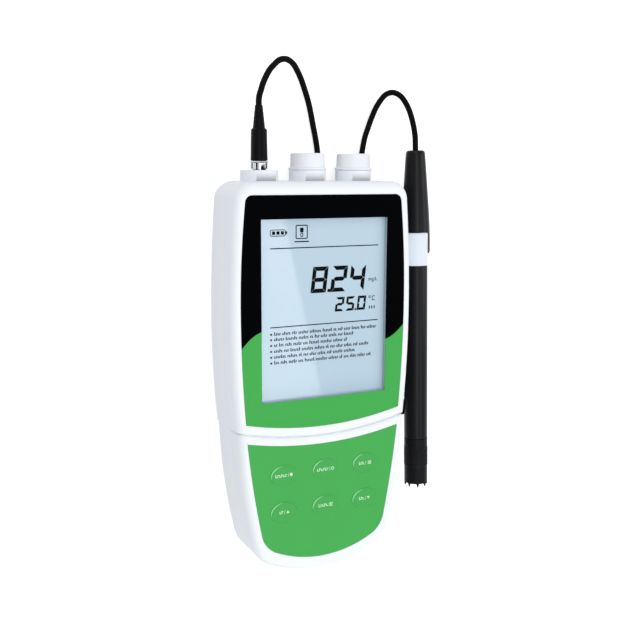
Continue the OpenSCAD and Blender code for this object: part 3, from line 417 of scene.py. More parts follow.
# The band's thickness: places across it and how far each stands out from its inner face.
bands = [(-4, 0.15), (-3.7, 0.6), (-2, 0.7), (2, 0.7), (3.7, 0.6), (4, 0.15), (4, 0), (-4, 0)]
points = [(hank_x + cx + (turn_r + out) * math.cos(a), strap_y + y,
           max(cz + (turn_r + out) * math.sin(a), 0.02 if out else strap_low))
          for y, out in bands for cx, cz, a in section]
n = len(section)
faces = [(i * n + k, i * n + (k + 1) % n, (i + 1) % len(bands) * n + (k + 1) % n,
          (i + 1) % len(bands) * n + k) for i in range(len(bands)) for k in range(n)]
hank_strap = piece("hank_strap", points, faces, [strap_cloth])
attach(hank_strap, "meter")
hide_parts("hank_tie")

cord_length * MM
[tuple(p * MM) for p in cord_path]

# Studio: a pale floor, soft lamps above, behind, on the right and at the near end, and a narrow
# one whose edge shows in the display's glass as a lighter slanting area. The surroundings look
# white in the picture and in reflections, and light the meter about half as strongly.


def sees_white(tree):
    """1 for the rays that see the surroundings as white, 0 for those that only carry light."""
    camera_ray, glossy_ray, through_ray = [
        Wire(tree).node("ShaderNodeLightPath", {}, {}, kind)
        for kind in ("Is Camera Ray", "Is Glossy Ray", "Is Transmission Ray")]
    seen = camera_ray.math("MAXIMUM", camera_ray, glossy_ray)
    return seen.math("MAXIMUM", seen, through_ray)


floor_half, floor_z = 3000, -0.05
floor = piece("floor", [(x * floor_half, y * floor_half, floor_z)
                        for x, y in ((-1, -1), (1, -1), (1, 1), (-1, 1))], [(0, 1, 2, 3)], [])
floor_paper = bpy.data.materials.new("floor_paper")
floor_paper.use_nodes = True
tree = floor_paper.node_tree
tree.nodes.remove(tree.nodes["Principled BSDF"])
floor_pale, floor_glow = (0.8, 0.8, 0.8, 1), 0.6
paper = Wire(tree).node("ShaderNodeBsdfDiffuse", {}, {"Color": floor_pale})
glow = Wire(tree).node("ShaderNodeEmission", {}, {"Strength": floor_glow * sees_white(tree)})
both = Wire(tree).node("ShaderNodeAddShader", {}, {0: paper, 1: glow})
tree.links.new(both.socket, tree.nodes["Material Output"].inputs["Surface"])
floor.data.materials.append(floor_paper)

world = bpy.data.worlds.new("studio")
bpy.context.scene.world = world
world.use_nodes = True
tree = world.node_tree
sky = tree.nodes["Background"]
sky.inputs["Color"].default_value = (0.915, 0.955, 1.0, 1)
sky_light = 0.475
strength = sky_light + (1 - sky_light) * sees_white(tree)
tree.links.new(strength.socket, sky.inputs["Strength"])


def softbox(name, place, target, size, power, tone=(1, 1, 1)):
    """A flat lamp of a width and length in metres and a power in watts."""
    data = bpy.data.lights.new(name, "AREA")
    data.shape = "RECTANGLE"
    data.size, data.size_y = size
    data.energy = power
    data.color = tone
    lamp = bpy.data.objects.new(name, data)
    bpy.context.scene.collection.objects.link(lamp)
    lamp.location = place
    lamp.rotation_euler = (Vector(target) - Vector(place)).to_track_quat("-Z", "Y").to_euler()
    return lamp


softbox("key_lamp", (-0.3, -0.05, 1.2), (-0.3, -0.05, 0), (0.36, 1.3), 4.3, (1, 0.995, 0.985))
softbox("back_lamp", (-0.5, 1.2, 1.0), (0, 0, 0), (0.8, 0.8), 4.6)
softbox("right_lamp", (1.1, 0.2, 0.9), (0, 0, 0), (0.6, 0.8), 3.5)
softbox("low_lamp", (0.2, -1.4, 0.7), (0, 0, 0), (0.8, 0.8), 5.4)
strip = softbox("strip_lamp", (0.44, -0.24, 1.2), (0.44, -0.24, 0), (0.24, 0.9), 2.0,
                (0.98, 0.99, 1))
strip.rotation_euler = (0, 0, math.radians(13))
bpy.context.scene.view_settings.view_transform = "Standard"

# Front shell round the display: moulded white plastic with a soft edge, a shallow recess for the
# printed film and a square opening for the window. Its lower edge is an arc, rounded over.
low_y, belly_y, seam_c, seam_r, seam_gap = -85, 27, 137, 160, 0.5
case_t, parting_z, roof_z, film_z, film_t = 30, 20.5, 27.6, 29.6, 0.35
half_w, keypad_half_w, wall = 42.5, 39.9, 2.4
film_gap, film_lip, lip_t = 0.1, 0.22, 0.12
window = (-29.4, 29.4, -6.5, 69.8)
# Radii of the sides above and below the widest place, and of the corners.
side_up_r, side_down_r, top_corner_r = 619, 487, 8
film_up_r, film_down_r, film_corner_r = 420, 596, 3
keypad_side_r, keypad_corner_r, keypad_end_r = 277, 14, 58
keypad_film_side_r, keypad_film_corner_r, keypad_film_end_r = 427, 12, 52


def arc(centre, radius, start, end, steps):
    """Points on an arc between two angles in degrees."""
    return [(centre[0] + radius * math.cos(math.radians(start + (end - start) * i / steps)),
             centre[1] + radius * math.sin(math.radians(start + (end - start) * i / steps)))
            for i in range(steps + 1)]


def meet(p, rp, q, rq):
    """The crossing of two circles on the right of the line from p to q."""
    p, q = Vector(p), Vector(q)
    d = (q - p).length
    a = (rp * rp - rq * rq + d * d) / (2 * d)
    h = math.sqrt(rp * rp - a * a)
    u = (q - p) / d
    return p + a * u + h * Vector((u.y, -u.x))


def bearing(centre, point):
    """The angle in degrees at which a point is seen from a centre."""
    return math.degrees(math.atan2(point[1] - centre[1], point[0] - centre[0]))


def mirrored(right, middle):
    """A whole outline from its right half and the point between the halves."""
    return right + middle + [(-x, y) for x, y in reversed(right)]


def display_outline(top, half, belly, r_up, r_down, r_corner, r_seam, d=0.0, e=0.0):
    """Square-cornered above, with bellied sides and the joint line's arc below, drawn in by d and
    at the joint line by e."""
    up, down, seam = (half - r_up, belly), (half - r_down, belly), (0, seam_c)
    cy = top - r_corner
    kx = up[0] + math.sqrt((r_up - r_corner) ** 2 - (cy - belly) ** 2)
    a = bearing(up, (kx, cy))
    k = meet(down, r_down - d, seam, r_seam - e)
    return mirrored(
        arc((kx, cy), r_corner - d, 90, a, 10) + arc(up, r_up - d, a, 0, 8)[1:]
        + arc(down, r_down - d, 0, bearing(down, k), 8)[1:]
        + arc(seam, r_seam - e, bearing(seam, k), -90, 14)[1:-1], [(0, seam_c - r_seam + e)])


def keypad_outline(half, wide_y, r_side, r_corner, r_end, low, r_seam, d=0.0, e=0.0):
    """Narrowing to a round end below, with the joint line's hollow arc above."""
    side, bottom, seam = (half - r_side, wide_y), (0, low + r_end), (0, seam_c)
    corner_at = meet(side, r_side - r_corner, bottom, r_end - r_corner)
    k = meet(side, r_side - d, seam, r_seam + e)
    a1, a2 = bearing(side, corner_at), bearing(bottom, corner_at)
    right = (arc(side, r_side - d, bearing(side, k), a1, 12)
             + arc(corner_at, r_corner - d, a1, a2, 10)[1:]
             + arc(bottom, r_end - d, a2, -90, 8)[1:-1])
    top = arc(seam, r_seam + e, -180 - bearing(seam, k), bearing(seam, k), 28)[1:-1]
    return mirrored(right, [(0, low + d)]) + top


def case_display(d, e=0.0):
    return display_outline(top_y, half_w, belly_y, side_up_r, side_down_r, top_corner_r,
                           seam_r, d, e)


def film_display(d):
    return display_outline(top_y - 5.5, half_w - 4.1, belly_y + 6, film_up_r, film_down_r,
                           film_corner_r, seam_r - 4, d, d)


def case_keypad(d, e=0.0):
    return keypad_outline(keypad_half_w, -9.3, keypad_side_r, keypad_corner_r, keypad_end_r,
                          low_y, seam_r + seam_gap, d, e)


def film_keypad(d):
    return keypad_outline(keypad_half_w - 1.8, 20, keypad_film_side_r, keypad_film_corner_r,
                          keypad_film_end_r, low_y + 6.7, seam_r + 4, d, d)


def loft(name, rings, materials):
    """A closed solid through rings of (height, outline), all with as many points."""
    points = [(x, y, z) for z, ring in rings for x, y in ring]
    n = len(rings[0][1])
    faces = [(i * n + k, i * n + (k + 1) % n, (i + 1) * n + (k + 1) % n, (i + 1) * n + k)
             for i in range(len(rings) - 1) for k in range(n)]
    faces += [tuple(range(n)), tuple(range((len(rings) - 1) * n, len(rings) * n))]
    return piece(name, points, faces, materials)


def box_solid(name, x0, x1, y0, y1, z0, z1, materials):
    """A closed box between two places along each axis."""
    ring = [(x0, y0), (x1, y0), (x1, y1), (x0, y1)]
    return loft(name, [(z0, ring), (z1, ring)], materials)


def oval(cx, cy, half_x, half_y, steps=48):
    """An oval's outline about its middle."""
    return [(cx + half_x * math.cos(2 * math.pi * k / steps),
             cy + half_y * math.sin(2 * math.pi * k / steps)) for k in range(steps)]


def applied(target):
    """Makes the target's modifiers part of its mesh."""
    graph = bpy.context.evaluated_depsgraph_get()
    mesh = bpy.data.meshes.new_from_object(target.evaluated_get(graph))
    target.modifiers.clear()
    target.data = mesh
    smoothed(mesh)
    return target


def carve(target, cutters, operation="DIFFERENCE"):
    """Cuts solids out of the target, or joins them to it, and drops them."""
    for cutter in cutters:
        change = target.modifiers.new("cut", "BOOLEAN")
        change.operation = operation
        change.solver = "EXACT"
        change.material_mode = "TRANSFER"
        change.object = cutter
    applied(target)
    for cutter in cutters:
        bpy.data.objects.remove(cutter)


def edge_rings(outline, z_end, r, r_seam, steps=10):
    """Rings up to z_end whose edge is rounded by r, and by r_seam at the joint line."""
    heights = sorted({round(z_end - q * (1 - math.sin(math.radians(90 * i / steps))), 4)
                      for q in (r, r_seam) for i in range(steps + 1)})
    made = []
    for z in heights:
        insets = [q - math.sqrt(max(q * q - max(z - z_end + q, 0) ** 2, 0)) for q in (r, r_seam)]
        made.append((z, outline(*insets)))
    return made


case_white = material("case_white", colour(242, 245, 249), 0.42, 0.22, 0.006, uneven=0.006,
                      gloss=0.3)
# The walls of the window's opening are painted mid-grey: painted shade inside the opening.
window_wall_painted_shade = material("window_wall_painted_shade", colour(176, 190, 196), 0.5, 0.3, 0.005, gloss=0.2)
front_edge, seam_edge, bevel = 3.5, 1.4, 0.25


def shell(name, outline, film_outline):
    """A front shell, open below: its outside, its film's recess and the room inside it."""
    made = loft(name, [(parting_z, outline(bevel, 0.1)), (parting_z + bevel, outline(0))]
                + edge_rings(outline, case_t, front_edge, seam_edge)
                + [(case_t, film_outline(-film_lip)), (case_t - lip_t, film_outline(-film_gap)),
                   (film_z, film_outline(-film_gap))], [case_white])
    room = [(z, outline(wall, -2)) for z in (parting_z - 1, roof_z)]
    return made, loft("room", room, [case_white])


display_case, room = shell("display_case_shell", case_display, film_display)
carve(display_case, [room, box_solid("opening", *window, 20, 40, [window_wall_painted_shade])])
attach(display_case, "meter")
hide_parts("display_case")

# Front shell round the keypad, of the same plastic, with six oval openings. A tongue on its upper
# edge sits under the display's shell, so that the joint line is closed.
key_x, key_y = (-19.7, 0, 19.7), (-38.7, -55.1)
key_places = [(x, y) for y in key_y for x in key_x]
opening_rx, opening_ry = 6.5, 4.9
keypad_case, room = shell("keypad_case_shell", case_keypad, film_keypad)
carve(keypad_case, [room])
for x, y in key_places:
    hole = oval(x, y, opening_rx, opening_ry)
    carve(keypad_case, [loft("opening", [(20, hole), (40, hole)], [case_white])])


def tongue(reach, half=3):
    """The tongue's outline, to an angle on each side of the case's middle."""
    return (arc((0, seam_c), seam_r - half, -90 - reach, -90 + reach, 28)
            + arc((0, seam_c), seam_r + half, -90 + reach, -90 - reach, 28))


tongue_rings = [(26.1, tongue(14.1)), (27, tongue(14.1)), (28.4, tongue(13.4))]
carve(keypad_case, [loft("tongue", tongue_rings, [case_white])], "UNION")
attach(keypad_case, "meter")
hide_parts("keypad_case")

# Printed polyester films, let into both shells: black over a green wave round the window, and
# green over the keypad. The black has almost no gloss, the green a little.
film_black_ink, film_green_ink = colour(1, 2, 3), colour(74, 173, 84)
wave_y, wave_fall, wave_x = 20.3, 4, 27


def film_paint(wire):
    """Black above a wavy line and green below it. The line falls evenly from left to right
    between -wave_x and wave_x, and bends down on the left of that and up on its right."""
    x, y = wire.along("X"), wire.along("Y")
    across = wire.node("ShaderNodeClamp", {}, {"Value": x * (1 / wave_x), "Min": -1, "Max": 1})
    left = wire.math("MAXIMUM", -wave_x - x, 0)
    right = wire.math("MAXIMUM", x - wave_x, 0)
    line = wave_y - wave_fall * across - 0.055 * left * left + 0.05 * right * right
    return (line - y).step(-0.06, 0.06).mix(film_black_ink, film_green_ink)


display_ink = material("display_ink", film_paint, 0.42, 0.5, 0.002, gloss=0.01)
green_ink = material("green_ink", film_green_ink, 0.42, 0.5, 0.002, uneven=0.01, gloss=0.1)


def plate(name, outline, holes, z0, z1, materials):
    """A flat plate with holes in it."""
    loops = [outline] + holes
    flat = [[Vector((x, y, 0)) for x, y in loop] for loop in loops]
    total = [p for loop in loops for p in loop]
    n = len(total)
    caps = tessellate_polygon(flat)
    points = [(x, y, z0) for x, y in total] + [(x, y, z1) for x, y in total]
    faces = [tuple(c) for c in caps] + [tuple(i + n for i in reversed(c)) for c in caps]
    start = 0
    for loop in loops:
        m = len(loop)
        faces += [(start + k, start + (k + 1) % m, start + (k + 1) % m + n, start + k + n)
                  for k in range(m)]
        start += m
    return piece(name, points, faces, materials)


x0, x1, y0, y1 = window
key_rx, key_ry, key_gap = 6.3, 4.7, 0.01
display_film = plate("display_film_printed", film_display(0),
                     [[(x0, y0), (x1, y0), (x1, y1), (x0, y1)]],
                     film_z, film_z + film_t, [display_ink])
keypad_film = plate("keypad_film_printed", film_keypad(0),
                    [oval(x, y, key_rx + key_gap, key_ry + key_gap) for x, y in key_places],
                    film_z, film_z + film_t, [green_ink])
for made, node, finish in ((display_film, "display_film", "film_black"),
                           (keypad_film, "keypad_film", "film_green")):
    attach(made, "meter")
    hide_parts(node)

# Keys: six domed green ovals that stand a little out of the film. Each one carries a run of small
# pale marks with a plain sign after it, and a thin lighter arc along its upper left, which is a
# painted highlight.
key_green = material("key_green", colour(72, 169, 82), 0.4, 0.5, 0.002, uneven=0.01, gloss=0.15)
sign_pale = material("sign_pale", colour(206, 238, 204), 0.45, 0.5, 0.002, uneven=0.01)
# The lighter green of the arc on each key's upper left is a painted highlight.
key_highlight_paint = material("key_highlight_paint", colour(140, 216, 146), 0.4, 0.5, 0.002, uneven=0.01)
key_top = 30.3
# A key's rings: height and both half-widths.
dome = [(25.5, key_rx, key_ry), (29.95, key_rx, key_ry), (30.05, 6.22, 4.62), (30.14, 6.0, 4.4),
        (30.21, 5.5, 3.95), (30.26, 4.4, 3.1), (30.29, 2.6, 1.8), (key_top, 1.0, 0.7)]


def dome_height(u, w):
    """Height of a key's dome at a place measured from its middle."""
    share = math.hypot(u / key_rx, w / key_ry)
    for (z0, a0, _), (z1, a1, _) in zip(dome[1:], dome[2:]):
        if share >= a1 / key_rx:
            return z0 + (z1 - z0) * min((a0 / key_rx - share) / ((a0 - a1) / key_rx), 1)
    return key_top


def joined(target, parts):
    """Moves the parts' meshes into the target's, with their finishes."""
    with bpy.context.temp_override(active_object=target,
                                   selected_editable_objects=[target] + parts):
        bpy.ops.object.join()


def bar(x, y, length, height):
    """A bar's outline about its middle."""
    return [(x - length / 2, y - height / 2), (x + length / 2, y - height / 2),
            (x + length / 2, y + height / 2), (x - length / 2, y + height / 2)]


mark_pitch, mark_thick = 0.92, 0.3


def word(x, heights):
    """A run of small marks from its left end, 1 for a tall one and 0 for a short one, and a thin
    slanting stroke after it. They are outlines, each with a list of its holes."""
    marks = []
    for k, tall in enumerate(heights):
        u = x + mark_pitch * k
        marks += [(bar(u, 0.16 if tall else 0, mark_thick, 1.5 if tall else 1.15), []),
                  (bar(u + 0.4, 0.4 if k % 2 else -0.4, 0.5, mark_thick), [])]
    u = x + mark_pitch * len(heights) + 0.35
    return marks + [([(u - 0.2, -0.9), (u - 0.05, -0.9), (u + 0.3, 0.9), (u + 0.15, 0.9)], [])]


signs = [
    word(-3.8, [1, 0, 0, 1, 0, 0]) + [(oval(3.4, 0.1, 0.72, 0.72, 20), [])],
    word(-3.8, [0, 1, 0, 0, 1, 0]) + [(oval(3.5, 0, 0.75, 0.75, 24),
                                       [oval(3.5, 0, 0.49, 0.49, 24)])],
    word(-2.9, [1, 0, 1]) + [(bar(2.3, 0.55, 1.7, 0.3), []), (bar(2.3, 0, 1.7, 0.3), []),
                             (bar(2.3, -0.55, 1.7, 0.3), [])],
    word(-1.9, [0, 1]) + [([(1.1, -0.6), (2.5, -0.6), (1.8, 0.7)], [])],
    word(-3.0, [1, 0, 0, 1, 0]) + [(bar(3.0, 0, 1.2, 1.6), [bar(3.0, 0, 0.6, 1.0)])],
    word(-2.6, [1, 1, 0]) + [([(1.3, 0.6), (2.0, -0.7), (2.7, 0.6)], [])],
]
arc_start, arc_end, arc_thick = 95, 195, 0.5


def arc_point(a, inward):
    """A point of the painted highlight arc's edge at an angle in degrees, drawn in from the key's edge.
    """
    return ((key_rx - 0.35 - inward) * math.cos(math.radians(a)),
            (key_ry - 0.35 - inward) * math.sin(math.radians(a)))


highlight_arc_outline = ([arc_point(a, 0) for a in range(arc_start, arc_end + 5, 5)]
             + [arc_point(a, arc_thick * math.sin(math.radians((a - arc_start) * 1.7)))
                for a in range(arc_end, arc_start, -5)])
print_out, print_in = 0.02, 0.1
for i, (x, y) in enumerate(key_places):
    key = loft(f"key_{i + 1}_domed", [(z, oval(x, y, rx, ry)) for z, rx, ry in dome], [key_green])
    prints = []
    for shape, holes, ink in [(shape, holes, sign_pale) for shape, holes in signs[i]] + [
            (highlight_arc_outline, [], key_highlight_paint)]:
        printed = plate("print", shape, holes, 0, 1, [ink])
        for v in printed.data.vertices:
            u, w, side = v.co / MM
            rise = print_out if side > 0.5 else -print_in
            v.co = Vector((x + u, y + w, dome_height(u, w) + rise)) * MM
        prints.append(printed)
    joined(key, prints)
    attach(key, f"key_{i + 1}")
    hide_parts(f"key_{i + 1}")

# Display: a pale glass with a glossy face, behind a clear pane. Its dark ink shows two rules, a
# cell sign, a framed probe sign, a reading with its unit, a temperature and rows of small marks.


def lcd_painted_light_fade(wire):
    """Slightly lighter towards the top, a painted light fade."""
    return wire.along("Y").step(-15.2, 83.6).mix(colour(182, 205, 220), colour(187, 208, 222))


# The glass glows faintly: painted light that brightens it in its recess behind the pane.
lcd_pale_painted_glow = material("lcd_pale_painted_glow", lcd_painted_light_fade, 0.5, 0.3, 0.001, coat=1.0, glow=0.06, gloss=0.1)
lcd_ink = material("lcd_ink", colour(1, 2, 5), 0.5, 0.3, 0.001, coat=0.03, gloss=0.01)
pane_clear = material("pane_clear", colour(70, 78, 86), 0.06, 4, 0.004, alpha=0.02)
ink_low, ink_high = 27.5, 27.54
ink_loops = []


def stroke(x0, y0, x1, y1, thick):
    """A straight stroke of ink between two points, with square ends."""
    along = Vector((x1 - x0, y1 - y0)).normalized() * thick / 2
    side = Vector((-along.y, along.x))
    a, b = Vector((x0, y0)), Vector((x1, y1))
    ink_loops.append([tuple(a - side), tuple(b - side), tuple(b + side), tuple(a + side)])


slant = 0.12


def digit(number, x, y, w, h, thick):
    """One seven-segment digit; x, y is its lower left corner, w by h its size."""
    lit = {0: "abcdef", 2: "abged", 4: "fgbc", 5: "afgcd", 8: "abcdefg"}[number]
    t, gap, half = thick / 2, thick * 0.045, h / 2
    side = [(-t, gap), (0, gap), (t, t + gap), (t, half - t - gap), (-t, half + t - gap)]
    bar_out = [(-t + gap, t), (w + t - gap, t), (w - t - gap, -t), (t + gap, -t)]
    bar_mid = [(gap, 0), (t + gap, t), (w - t - gap, t), (w - gap, 0), (w - t - gap, -t),
               (t + gap, -t)]
    shapes = {
        "a": [(u, h + v) for u, v in bar_out], "d": [(u, -v) for u, v in bar_out],
        "g": [(u, half + v) for u, v in bar_mid],
        "f": [(u, half + v) for u, v in side], "b": [(w - u, half + v) for u, v in side],
        "e": [(u, half - v) for u, v in side], "c": [(w - u, half - v) for u, v in side]}
    for name in lit:
        ink_loops.append([(x + u + slant * v, y + v) for u, v in shapes[name]])


def frame_of(x0, y0, x1, y1, r, thick):
    """An open frame with rounded corners, as short strokes."""
    corners = [(x1 - r, y1 - r, 0), (x0 + r, y1 - r, 90), (x0 + r, y0 + r, 180),
               (x1 - r, y0 + r, 270)]
    line = [p for cx, cy, a in corners for p in arc((cx, cy), r, a, a + 90, 3)]
    for (u0, v0), (u1, v1) in zip(line, line[1:] + line[:1]):
        stroke(u0, v0, u1, v1, thick)


# The rules above and below the reading.
for x0, x1, y in ((-24.5, 26.4, 57.75), (-24.6, 26.6, 25.0)):
    stroke(x0, y, x1, y, 0.42)
# The cell sign with its three bars, and the framed probe sign with a rule under it.
sign_y = 64.1
frame_of(-24.4, 62.85, -17.7, 65.35, 0.6, 0.3)
stroke(-17.5, sign_y, -16.9, sign_y, 1.2)
for k in range(3):
    stroke(-23.6 + 1.95 * k, sign_y, -22.2 + 1.95 * k, sign_y, 1.4)
frame_of(-12.8, 61.6, -7.7, 67.0, 0.2, 0.42)
stroke(-10.2, sign_y, -10.2, 66.0, 1.5)
stroke(-11.0, 65.3, -9.4, 65.3, 1.0)
frame_of(-10.7, 62.4, -9.7, 63.8, 0.4, 0.34)
stroke(-13.6, 60.3, -6.9, 60.3, 0.5)
# The reading 8.24, and 25.0 below it.
for number, x in ((8, -5.2), (2, 4.1), (4, 13.0)):
    digit(number, x, 39.3, 5.5, 9.3, 1.75)
ink_loops.append([(1.8, 38.5), (3.1, 38.5), (3.25, 39.8), (1.95, 39.8)])
for number, x in ((2, 6.0), (5, 11.1), (0, 16.6)):
    digit(number, x, 30.4, 3.0, 5.1, 1.05)
ink_loops.append([(15.0, 29.9), (15.8, 29.9), (15.9, 30.7), (15.1, 30.7)])
for k in range(3):
    stroke(22.4 + 1.2 * k, 30.1, 22.4 + 1.2 * k, 31.4, 0.5)
# The units mg/L and degrees C.
for u0, v0, u1, v1 in (
        (21.8, 42.4, 21.8, 43.4), (22.35, 42.4, 22.35, 43.4), (22.9, 42.4, 22.9, 43.4),
        (21.8, 43.3, 22.9, 43.3), (23.4, 42.5, 23.4, 43.3), (24.0, 41.8, 24.0, 43.4),
        (23.4, 43.3, 24.0, 43.3), (23.4, 42.5, 24.0, 42.5), (23.4, 41.9, 24.0, 41.9),
        (24.4, 42.0, 24.9, 43.9), (25.3, 42.4, 25.3, 43.9), (25.3, 42.5, 26.1, 42.5)):
    stroke(u0, v0, u1, v1, 0.22)
frame_of(22.0, 34.9, 22.9, 35.8, 0.45, 0.26)
for u0, v0, u1, v1 in ((25.1, 35.6, 23.8, 35.6), (23.8, 35.7, 23.8, 33.9),
                       (23.7, 33.9, 25.1, 33.9)):
    stroke(u0, v0, u1, v1, 0.3)
# Six rows of small marks in groups, each row as long as reach says.
group_sizes = [4, 6, 2, 5, 7, 3, 3, 6]
for row, (y, reach) in enumerate(((22.1, 26.6), (19.8, 11.5), (17.35, 10.6), (14.85, 20.5),
                                  (12.4, 10.6), (9.9, 22.1))):
    stroke(-24.6, y, -23.8, y, 0.8)
    x, k, count = -22.6, row, 0
    while x < reach:
        for _ in range(group_sizes[k % 8]):
            tall = (count * 7 + row * 3) % 5 == 0
            tick_y = y + (0.35 if count % 2 else -0.4)
            stroke(x, y - 0.5, x, y + (0.95 if tall else 0.45), 0.4)
            stroke(x + 0.1, tick_y, x + 0.5, tick_y, 0.25)
            x, count = x + 0.78, count + 1
        x, k = x + 0.6, k + 3
points, faces = [], []
for loop in ink_loops:
    n, m = len(points), len(loop)
    points += [(x, y, ink_low) for x, y in loop] + [(x, y, ink_high) for x, y in loop]
    faces += [tuple(range(n, n + m))[::-1], tuple(range(n + m, n + 2 * m))]
    faces += [(n + k, n + (k + 1) % m, n + m + (k + 1) % m, n + m + k) for k in range(m)]
lcd_reading = piece("lcd_reading", points, faces, [lcd_ink])
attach(lcd_reading, "meter")

# Dust caps: turned from soft white plastic, with a skirt in the collar, a rim that sits on it and
# a flat hollow crown. A fine dark gap is left under each rim.
cap_white = material("cap_white", colour(242, 244, 248), 0.45, 0.3, 0.008, uneven=0.008, gloss=0.3)
for number, x in ((2, port_x[1]), (3, port_x[2])):
    cap = turned(f"dust_cap_{number}_turned", [
        (86.5, 6.35), (89.45, 6.35), (89.5, 7.9), (89.75, 8.2), (90.25, 8.2), (90.5, 7.95),
        (90.62, 7.6), (90.9, 7.5), (96.2, 7.35), (96.6, 7.0), (96.6, 0), (95.4, 0), (95.4, 5.2),
        (86.5, 5.2)], along_y(x, port_z), [cap_white], closed=True, size=0.18, sides=96)
    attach(cap, f"cap_{number}")
    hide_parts(f"dust_cap_{number}")

# Probe: a long satin black shaft under a handle that swells towards its shoulder. Both are
# turned, and the cable enters the top of the handle.
clip_y, probe_z = 54.5, 15
probe_turn = Matrix.Rotation(math.radians(1.6), 4, "Z")
probe_at = (Matrix.Translation((53.4, clip_y, probe_z)) @ probe_turn
            @ Matrix.Rotation(math.radians(-90), 4, "X"))
probe_black = material("probe_black", colour(3, 3, 5), 0.3, 0.35, 0.003, gloss=0.16)
handle_r, shaft_r, shaft_bore_r, shoulder = 6.6, 5.5, 3.05, -2.5
handle = turned("probe_handle_turned", [
    (shoulder, 0), (shoulder, handle_r - 0.5), (shoulder + 0.5, handle_r), (4.5, handle_r),
    (9.5, 6.48), (16.5, 6.15), (24.5, 5.6), (31.5, 5.15), (37.5, 4.75), (41, 4.5), (44, 4.2),
    (44, 0)], probe_at, [probe_black], size=1.3, sides=96)
shaft = turned("probe_shaft_turned", [
    (-96.9, shaft_bore_r), (-96.9, 4.5), (-89.9, 4.5), (-89.9, 5.3), (-89.7, shaft_r),
    (shoulder, shaft_r), (shoulder, shaft_bore_r)], probe_at, [probe_black], closed=True, sides=96)
for made, node in ((handle, "probe_handle"), (shaft, "probe_shaft")):
    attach(made, "probe")
    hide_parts(node)

# Membrane cap: screws onto the shaft's end, with a finely ribbed ring to grip and eight teeth that
# guard the membrane.
cap_black = material("cap_black", colour(10, 10, 12), 0.4, 0.3, 0.006, gloss=0.1)
tip, cap_r, grip_r = -113.9, 5.5, 5.62
membrane_cap = turned("membrane_cap_turned", [(tip + s, r) for s, r in (
    (0, 3.0), (0, 5.1), (0.5, cap_r), (10.2, cap_r), (10.4, grip_r), (10.9, grip_r), (18.9, grip_r),
    (19.4, grip_r), (19.6, cap_r), (23.7, cap_r), (23.9, 5.3), (23.9, 4.6), (15.9, 4.6),
    (15.9, 3.6), (2.6, 3.6), (2.6, 3.0))], probe_at, [cap_black], closed=True, size=0.1,
    sides=144, ribs=(tip + 10.8, tip + 19, 0.14))


def moved(solid, place):
    """The solid, made about the origin in millimetres, put where place says."""
    shift = Matrix.Translation(place.translation * MM) @ place.to_3x3().to_4x4()
    solid.data.transform(shift)
    return solid


# The slits between the teeth narrow inward from the tip.
teeth = 8
for i in range(teeth):
    slit = loft("slit", [(s, [(2.4, -half), (9, -half), (9, half), (2.4, half)])
                         for s, half in ((tip - 0.5, 2.05), (tip + 1.9, 1.5))], [cap_black])
    turn = Matrix.Rotation(math.radians(360 / teeth * i), 4, "Z")
    carve(membrane_cap, [moved(slit, probe_at @ turn)])
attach(membrane_cap, "tip_cap")
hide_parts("membrane_cap")

# Probe clip: a springy white C that hugs the shaft and seats the handle's shoulder, moulded in one
# with a foot that is screwed into the side of the case.
clip_white = material("clip_white", colour(228, 233, 240), 0.42, 0.22, 0.006, uneven=0.008,
                      gloss=0.3)
clip_half, clip_r, clip_shaft_r, clip_handle_r = 7.4, 8.65, 5.8, 6.75
steps = 56
angles = [math.radians(-310 + 228 * i / steps) for i in range(steps + 1)]
rings = []
for s, r_in in ((-clip_half, clip_shaft_r), (shoulder, clip_shaft_r), (shoulder, clip_handle_r),
                (clip_half, clip_handle_r)):
    rings.append([(r * math.cos(a), r * math.sin(a), s)
                  for r, line in ((clip_r, angles), (r_in, angles[::-1])) for a in line])
points = [tuple(probe_at @ Vector(p)) for ring in rings for p in ring]
n = len(rings[0])
faces = [(i * n + k, i * n + (k + 1) % n, (i + 1) * n + (k + 1) % n, (i + 1) * n + k)
         for i in range(3) for k in range(n)
         if i != 1 or steps < k < n - 1]
for base, flip in ((0, False), (3 * n, True)):
    for k in range(steps):
        quad = (base + k, base + k + 1, base + n - 2 - k, base + n - 1 - k)
        faces.append(quad[::-1] if flip else quad)


def rounded(target, width):
    """Rounds the target's edges that are sharper than 40 degrees."""
    change = target.modifiers.new("round", "BEVEL")
    change.width = width * MM
    change.segments = 3
    change.limit_method = "ANGLE"
    change.angle_limit = math.radians(40)
    return applied(target)


sensor_clip = piece("sensor_clip_sprung", points, faces, [clip_white])
mended(sensor_clip.data, merge=1e-6)
rounded(sensor_clip, 0.55)
foot_at = Matrix.Translation((40.69, clip_y, probe_z)) @ probe_turn
foot = rounded(moved(box_solid("foot", 0, 5.9, -7.39, 7.39, -5, 4, [clip_white]), foot_at), 0.4)
bore = turned("bore", [(-12, 0), (-12, clip_shaft_r), (shoulder, clip_shaft_r),
                       (shoulder, clip_handle_r), (12, clip_handle_r), (12, 0)],
              probe_at, [clip_white], size=0.01, sides=96)
carve(foot, [bore])
carve(sensor_clip, [foot], "UNION")
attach(sensor_clip, "meter")
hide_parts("sensor_clip")

# Rear shell and battery door, of the same white plastic: a deep tub with a sloping face under the
# ports, three collars, screw wells and the bay for the cells. The bayonet sleeve is of bright
# nickel, with eight narrow dark slots along it.
nickel = material("nickel", colour(190, 192, 198), 0.12, 0.3, 0.001, uneven=0.02, metal=1.0)
wall_shadow = material("wall_shadow", colour(10, 10, 12), 0.6, 0.3, 0.005, gloss=0.1)
slot_half, slot_turn = 0.36, 40


def remade(name, node, finish, flatten):
    """The node's own shape, smooth between its sharp edges."""
    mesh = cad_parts[node].data.copy()
    mesh.name = name
    mesh.materials.clear()
    mesh.materials.append(finish)
    mended(mesh, 2e-6, flatten)
    smoothed(mesh, 32)
    return placed(name, mesh)


